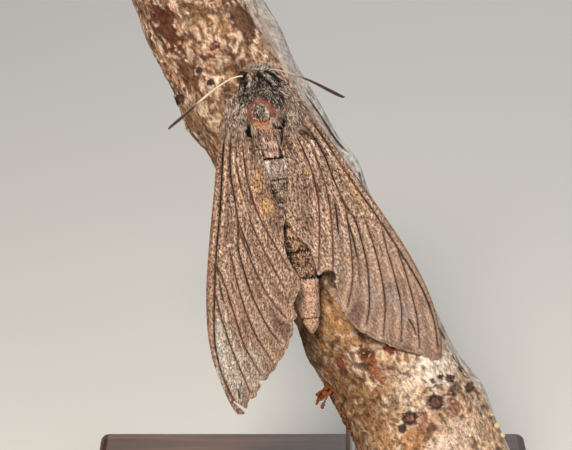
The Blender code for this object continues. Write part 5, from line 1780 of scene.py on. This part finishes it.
def makeLeg(name, points, seed):
    clear = legForm["clear"]
    foot = np.array(overBark(*points[-1][:2], clear))
    way = foot[:2] - np.array(points[-2][:2])
    way /= np.linalg.norm(way)
    toes = [overBark(*(foot[:2] + way * legForm["footLength"] * t), clear - 0.25 * t) for t in (0.5, 1.0)]
    route = [*points[:-1], foot, *toes]
    radii = [*legForm["radii"], legForm["footRadius"], legForm["toeRadius"]]
    path = smoothPath([(*p, r) for p, r in zip(route, radii)], legForm["steps"])
    share = np.linspace(0, 1, legForm["steps"])
    # the foot's joints show as small swellings
    swell = 1.0 + 0.12 * np.sin(share * 34.0) * smoothStep(0.6, 0.7, share)
    net, _ = rodRings(path[:, :3], path[:, 3] * swell, legForm["sides"])
    leg = gridSheet(name + "_scaled", net)
    spots = net.reshape(-1, 3)
    colours = np.tile(hexColour("#6d574a")[:3], (len(spots), 1))
    colours = blendColour(colours, smoothStep(0.0, 0.4, cloudy(spots, 0.5, 3.0)) * 0.6, "#a28d7d")
    colours = blendColour(colours, 0.6 * smoothStep(0.55, 0.62, np.repeat(share, net.shape[1])), "#4a3830")
    paint(leg, colours)
    closeShell()
    wear(leg, legScales)
    finishPiece(leg, "leg", name)
    # claws and spurs are small curved spikes
    spikes = []
    sink = np.array([0, 0, 0.25])
    knee, shin = (path[step, :3] for step in legForm["spurSteps"])
    down = (shin - knee) / np.linalg.norm(shin - knee)
    tip, before = path[-1, :3], path[-6, :3]
    ahead = (tip - before) / np.linalg.norm(tip - before)
    across = np.cross(ahead, np.array([0.0, 0.0, 1.0]))
    across /= np.linalg.norm(across)
    for turn in (-1.0, 1.0):
        bend, point = tip + 0.3 * ahead + 0.18 * turn * across, tip + 0.5 * ahead + 0.25 * turn * across
        spikes.append([tip - 0.1 * ahead, bend, point - sink])
        bend, point = knee + 0.5 * down + 0.45 * turn * across, knee + 1.2 * down + 0.6 * turn * across
        spikes.append([knee, bend, point])
    made = []
    for index, spike in enumerate(spikes):
        line = smoothPath(spike, 10)
        ring, _ = rodRings(line, np.linspace(0.1, 0.015, 10), 8)
        claw = gridSheet(name + "_claw_" + str(index), ring)
        closeShell()
        made.append(claw)
    pick(*made)
    bpy.ops.object.join()
    made[0].name = name + "_claws"
    wear(made[0], clawHorn)
    finishPiece(made[0], "leg")
    # short scales over the leg
    evenly = lambda middle, facing, corner: np.ones(len(middle))
    roots, up, corner, _ = scatter(leg, legForm["hairs"], seed, evenly)
    nearest = np.linalg.norm(roots[:, None] - path[None, :, :3], axis=2).argmin(axis=1)
    lie = np.gradient(path[:, :3], axis=0)[nearest]
    tone = np.tile(hexColour("#84705f")[:3], (len(roots), 1))
    # the grid has one column more than the leg has sides
    columns = legForm["sides"] + 1
    uv = 0.02 + 0.96 * np.stack([nearest / legForm["steps"], (corner[:, 0] % columns) / columns], axis=1)
    fur = growTufts(name + "_coat", roots, up, lie, lambda spots: tone, uv, legCoat, seed)
    wear(fur, hair)
    finishPiece(fur, "leg")


legCoat = {
    **tuftForm,
    "rings": 2,
    "length": (0.3, 0.7),
    "width": (0.09, 0.15),
    "lift": (0.1, 0.35),
    "spreadDeg": 12.0,
    "sink": 0.05,
}
legScales = hairMaterial("leg_scales", 0.7)


def clawMaterial():
    # claw horn: hard, dark and glossy, with faint streaks
    material, tree, shader = startMaterial("claw_horn")
    place = addNode(tree, "ShaderNodeTexCoord")
    streak = addNode(
        tree, "ShaderNodeTexNoise", {"Vector": place.outputs["Object"], "Scale": 4000.0, "Detail": 2.0}
    )
    tone = addNode(
        tree, "ShaderNodeValToRGB", {"Fac": streak.outputs["Fac"]}, [(0.35, "#24130f"), (0.7, "#3d221a")]
    )
    tree.links.new(tone.outputs["Color"], shader.inputs["Base Color"])
    shader.inputs["Roughness"].default_value = 0.35
    return material


clawHorn = clawMaterial()
for seed, (name, points) in enumerate(legs.items(), 51):
    makeLeg(name, points, seed)
print("legs made")


# Stand: an oiled walnut block and two brushed steel rods
def walnutMaterial():
    # oiled walnut: dark brown with long grain a millimetre or two wide, softly glossy
    material, tree, shader = startMaterial("oiled_walnut")
    place = addNode(tree, "ShaderNodeTexCoord")
    grain = addNode(tree, "ShaderNodeMapping", {"Vector": place.outputs["Object"], "Scale": (0.06, 1.0, 1.0)})
    wave = addNode(
        tree,
        "ShaderNodeTexNoise",
        {
            "Vector": grain.outputs["Vector"],
            "Scale": 420.0,
            "Detail": 6.0,
            "Roughness": 0.6,
            "Distortion": 0.6,
        },
    )
    tone = addNode(
        tree,
        "ShaderNodeValToRGB",
        {"Fac": wave.outputs["Fac"]},
        [(0.3, "#2c1a11"), (0.55, "#5a3a26"), (0.75, "#7a5337")],
    )
    tree.links.new(tone.outputs["Color"], shader.inputs["Base Color"])
    shader.inputs["Roughness"].default_value = 0.4
    bump = addNode(
        tree, "ShaderNodeBump", {"Height": wave.outputs["Fac"], "Distance": 0.00008, "Strength": 0.4}
    )
    tree.links.new(bump.outputs["Normal"], shader.inputs["Normal"])
    return material


def steelMaterial():
    # brushed stainless steel: fine lines round the rod
    material, tree, shader = startMaterial("brushed_steel")
    place = addNode(tree, "ShaderNodeTexCoord")
    lines = addNode(tree, "ShaderNodeMapping", {"Vector": place.outputs["Object"], "Scale": (0.1, 0.1, 1.0)})
    brush = addNode(
        tree, "ShaderNodeTexNoise", {"Vector": lines.outputs["Vector"], "Scale": 5000.0, "Detail": 2.0}
    )
    rough = addNode(
        tree, "ShaderNodeMapRange", {"Value": brush.outputs["Fac"], "To Min": 0.22, "To Max": 0.42}
    )
    tree.links.new(rough.outputs["Result"], shader.inputs["Roughness"])
    shader.inputs["Base Color"].default_value = hexColour("#b9babc")
    shader.inputs["Metallic"].default_value = 1.0
    return material


wear(nodes["stand_base"], walnutMaterial())
steel = steelMaterial()
for name in ("stand_rod_tall", "stand_rod_short"):
    wear(nodes[name], steel)
print("stand finished")


# Floor and soft studio light: a large key from the upper left, a fill from the right and one from behind
def floorMaterial():
    # plain pale studio paper, dull and even
    material, _, shader = startMaterial("pale_floor")
    shader.inputs["Base Color"].default_value = hexColour("#d9d8d4")
    shader.inputs["Roughness"].default_value = 0.8
    return material


deselect()
bpy.ops.mesh.primitive_plane_add(size=4.0, location=(0.0, 0.0, 0.0))
floor = bpy.context.active_object
floor.name = "floor"
wear(floor, floorMaterial())
lights = {
    "key": {"at": (-100.0, 190.0, 430.0), "size": 0.14, "power": 3.1, "tint": "#fff6ea"},
    "fill": {"at": (320.0, 40.0, 380.0), "size": 0.4, "power": 1.0, "tint": "#eef4ff"},
    "rim": {"at": (105.0, 586.0, -319.0), "size": 0.5, "power": 2.0, "tint": "#ffffff"},
}
aimAt = Vector((0.0, -0.01, 0.06))
for name, light in lights.items():
    spot = Vector(toWorld(light["at"]))
    bpy.ops.object.light_add(type="AREA", location=spot)
    lamp = bpy.context.active_object
    lamp.name = name + "_light"
    lamp.data.size = light["size"]
    lamp.data.energy = light["power"]
    lamp.data.color = hexColour(light["tint"])[:3]
    lamp.rotation_euler = (aimAt - spot).to_track_quat("-Z", "Y").to_euler()
bpy.context.scene.view_settings.view_transform = "Standard"
print("light set")
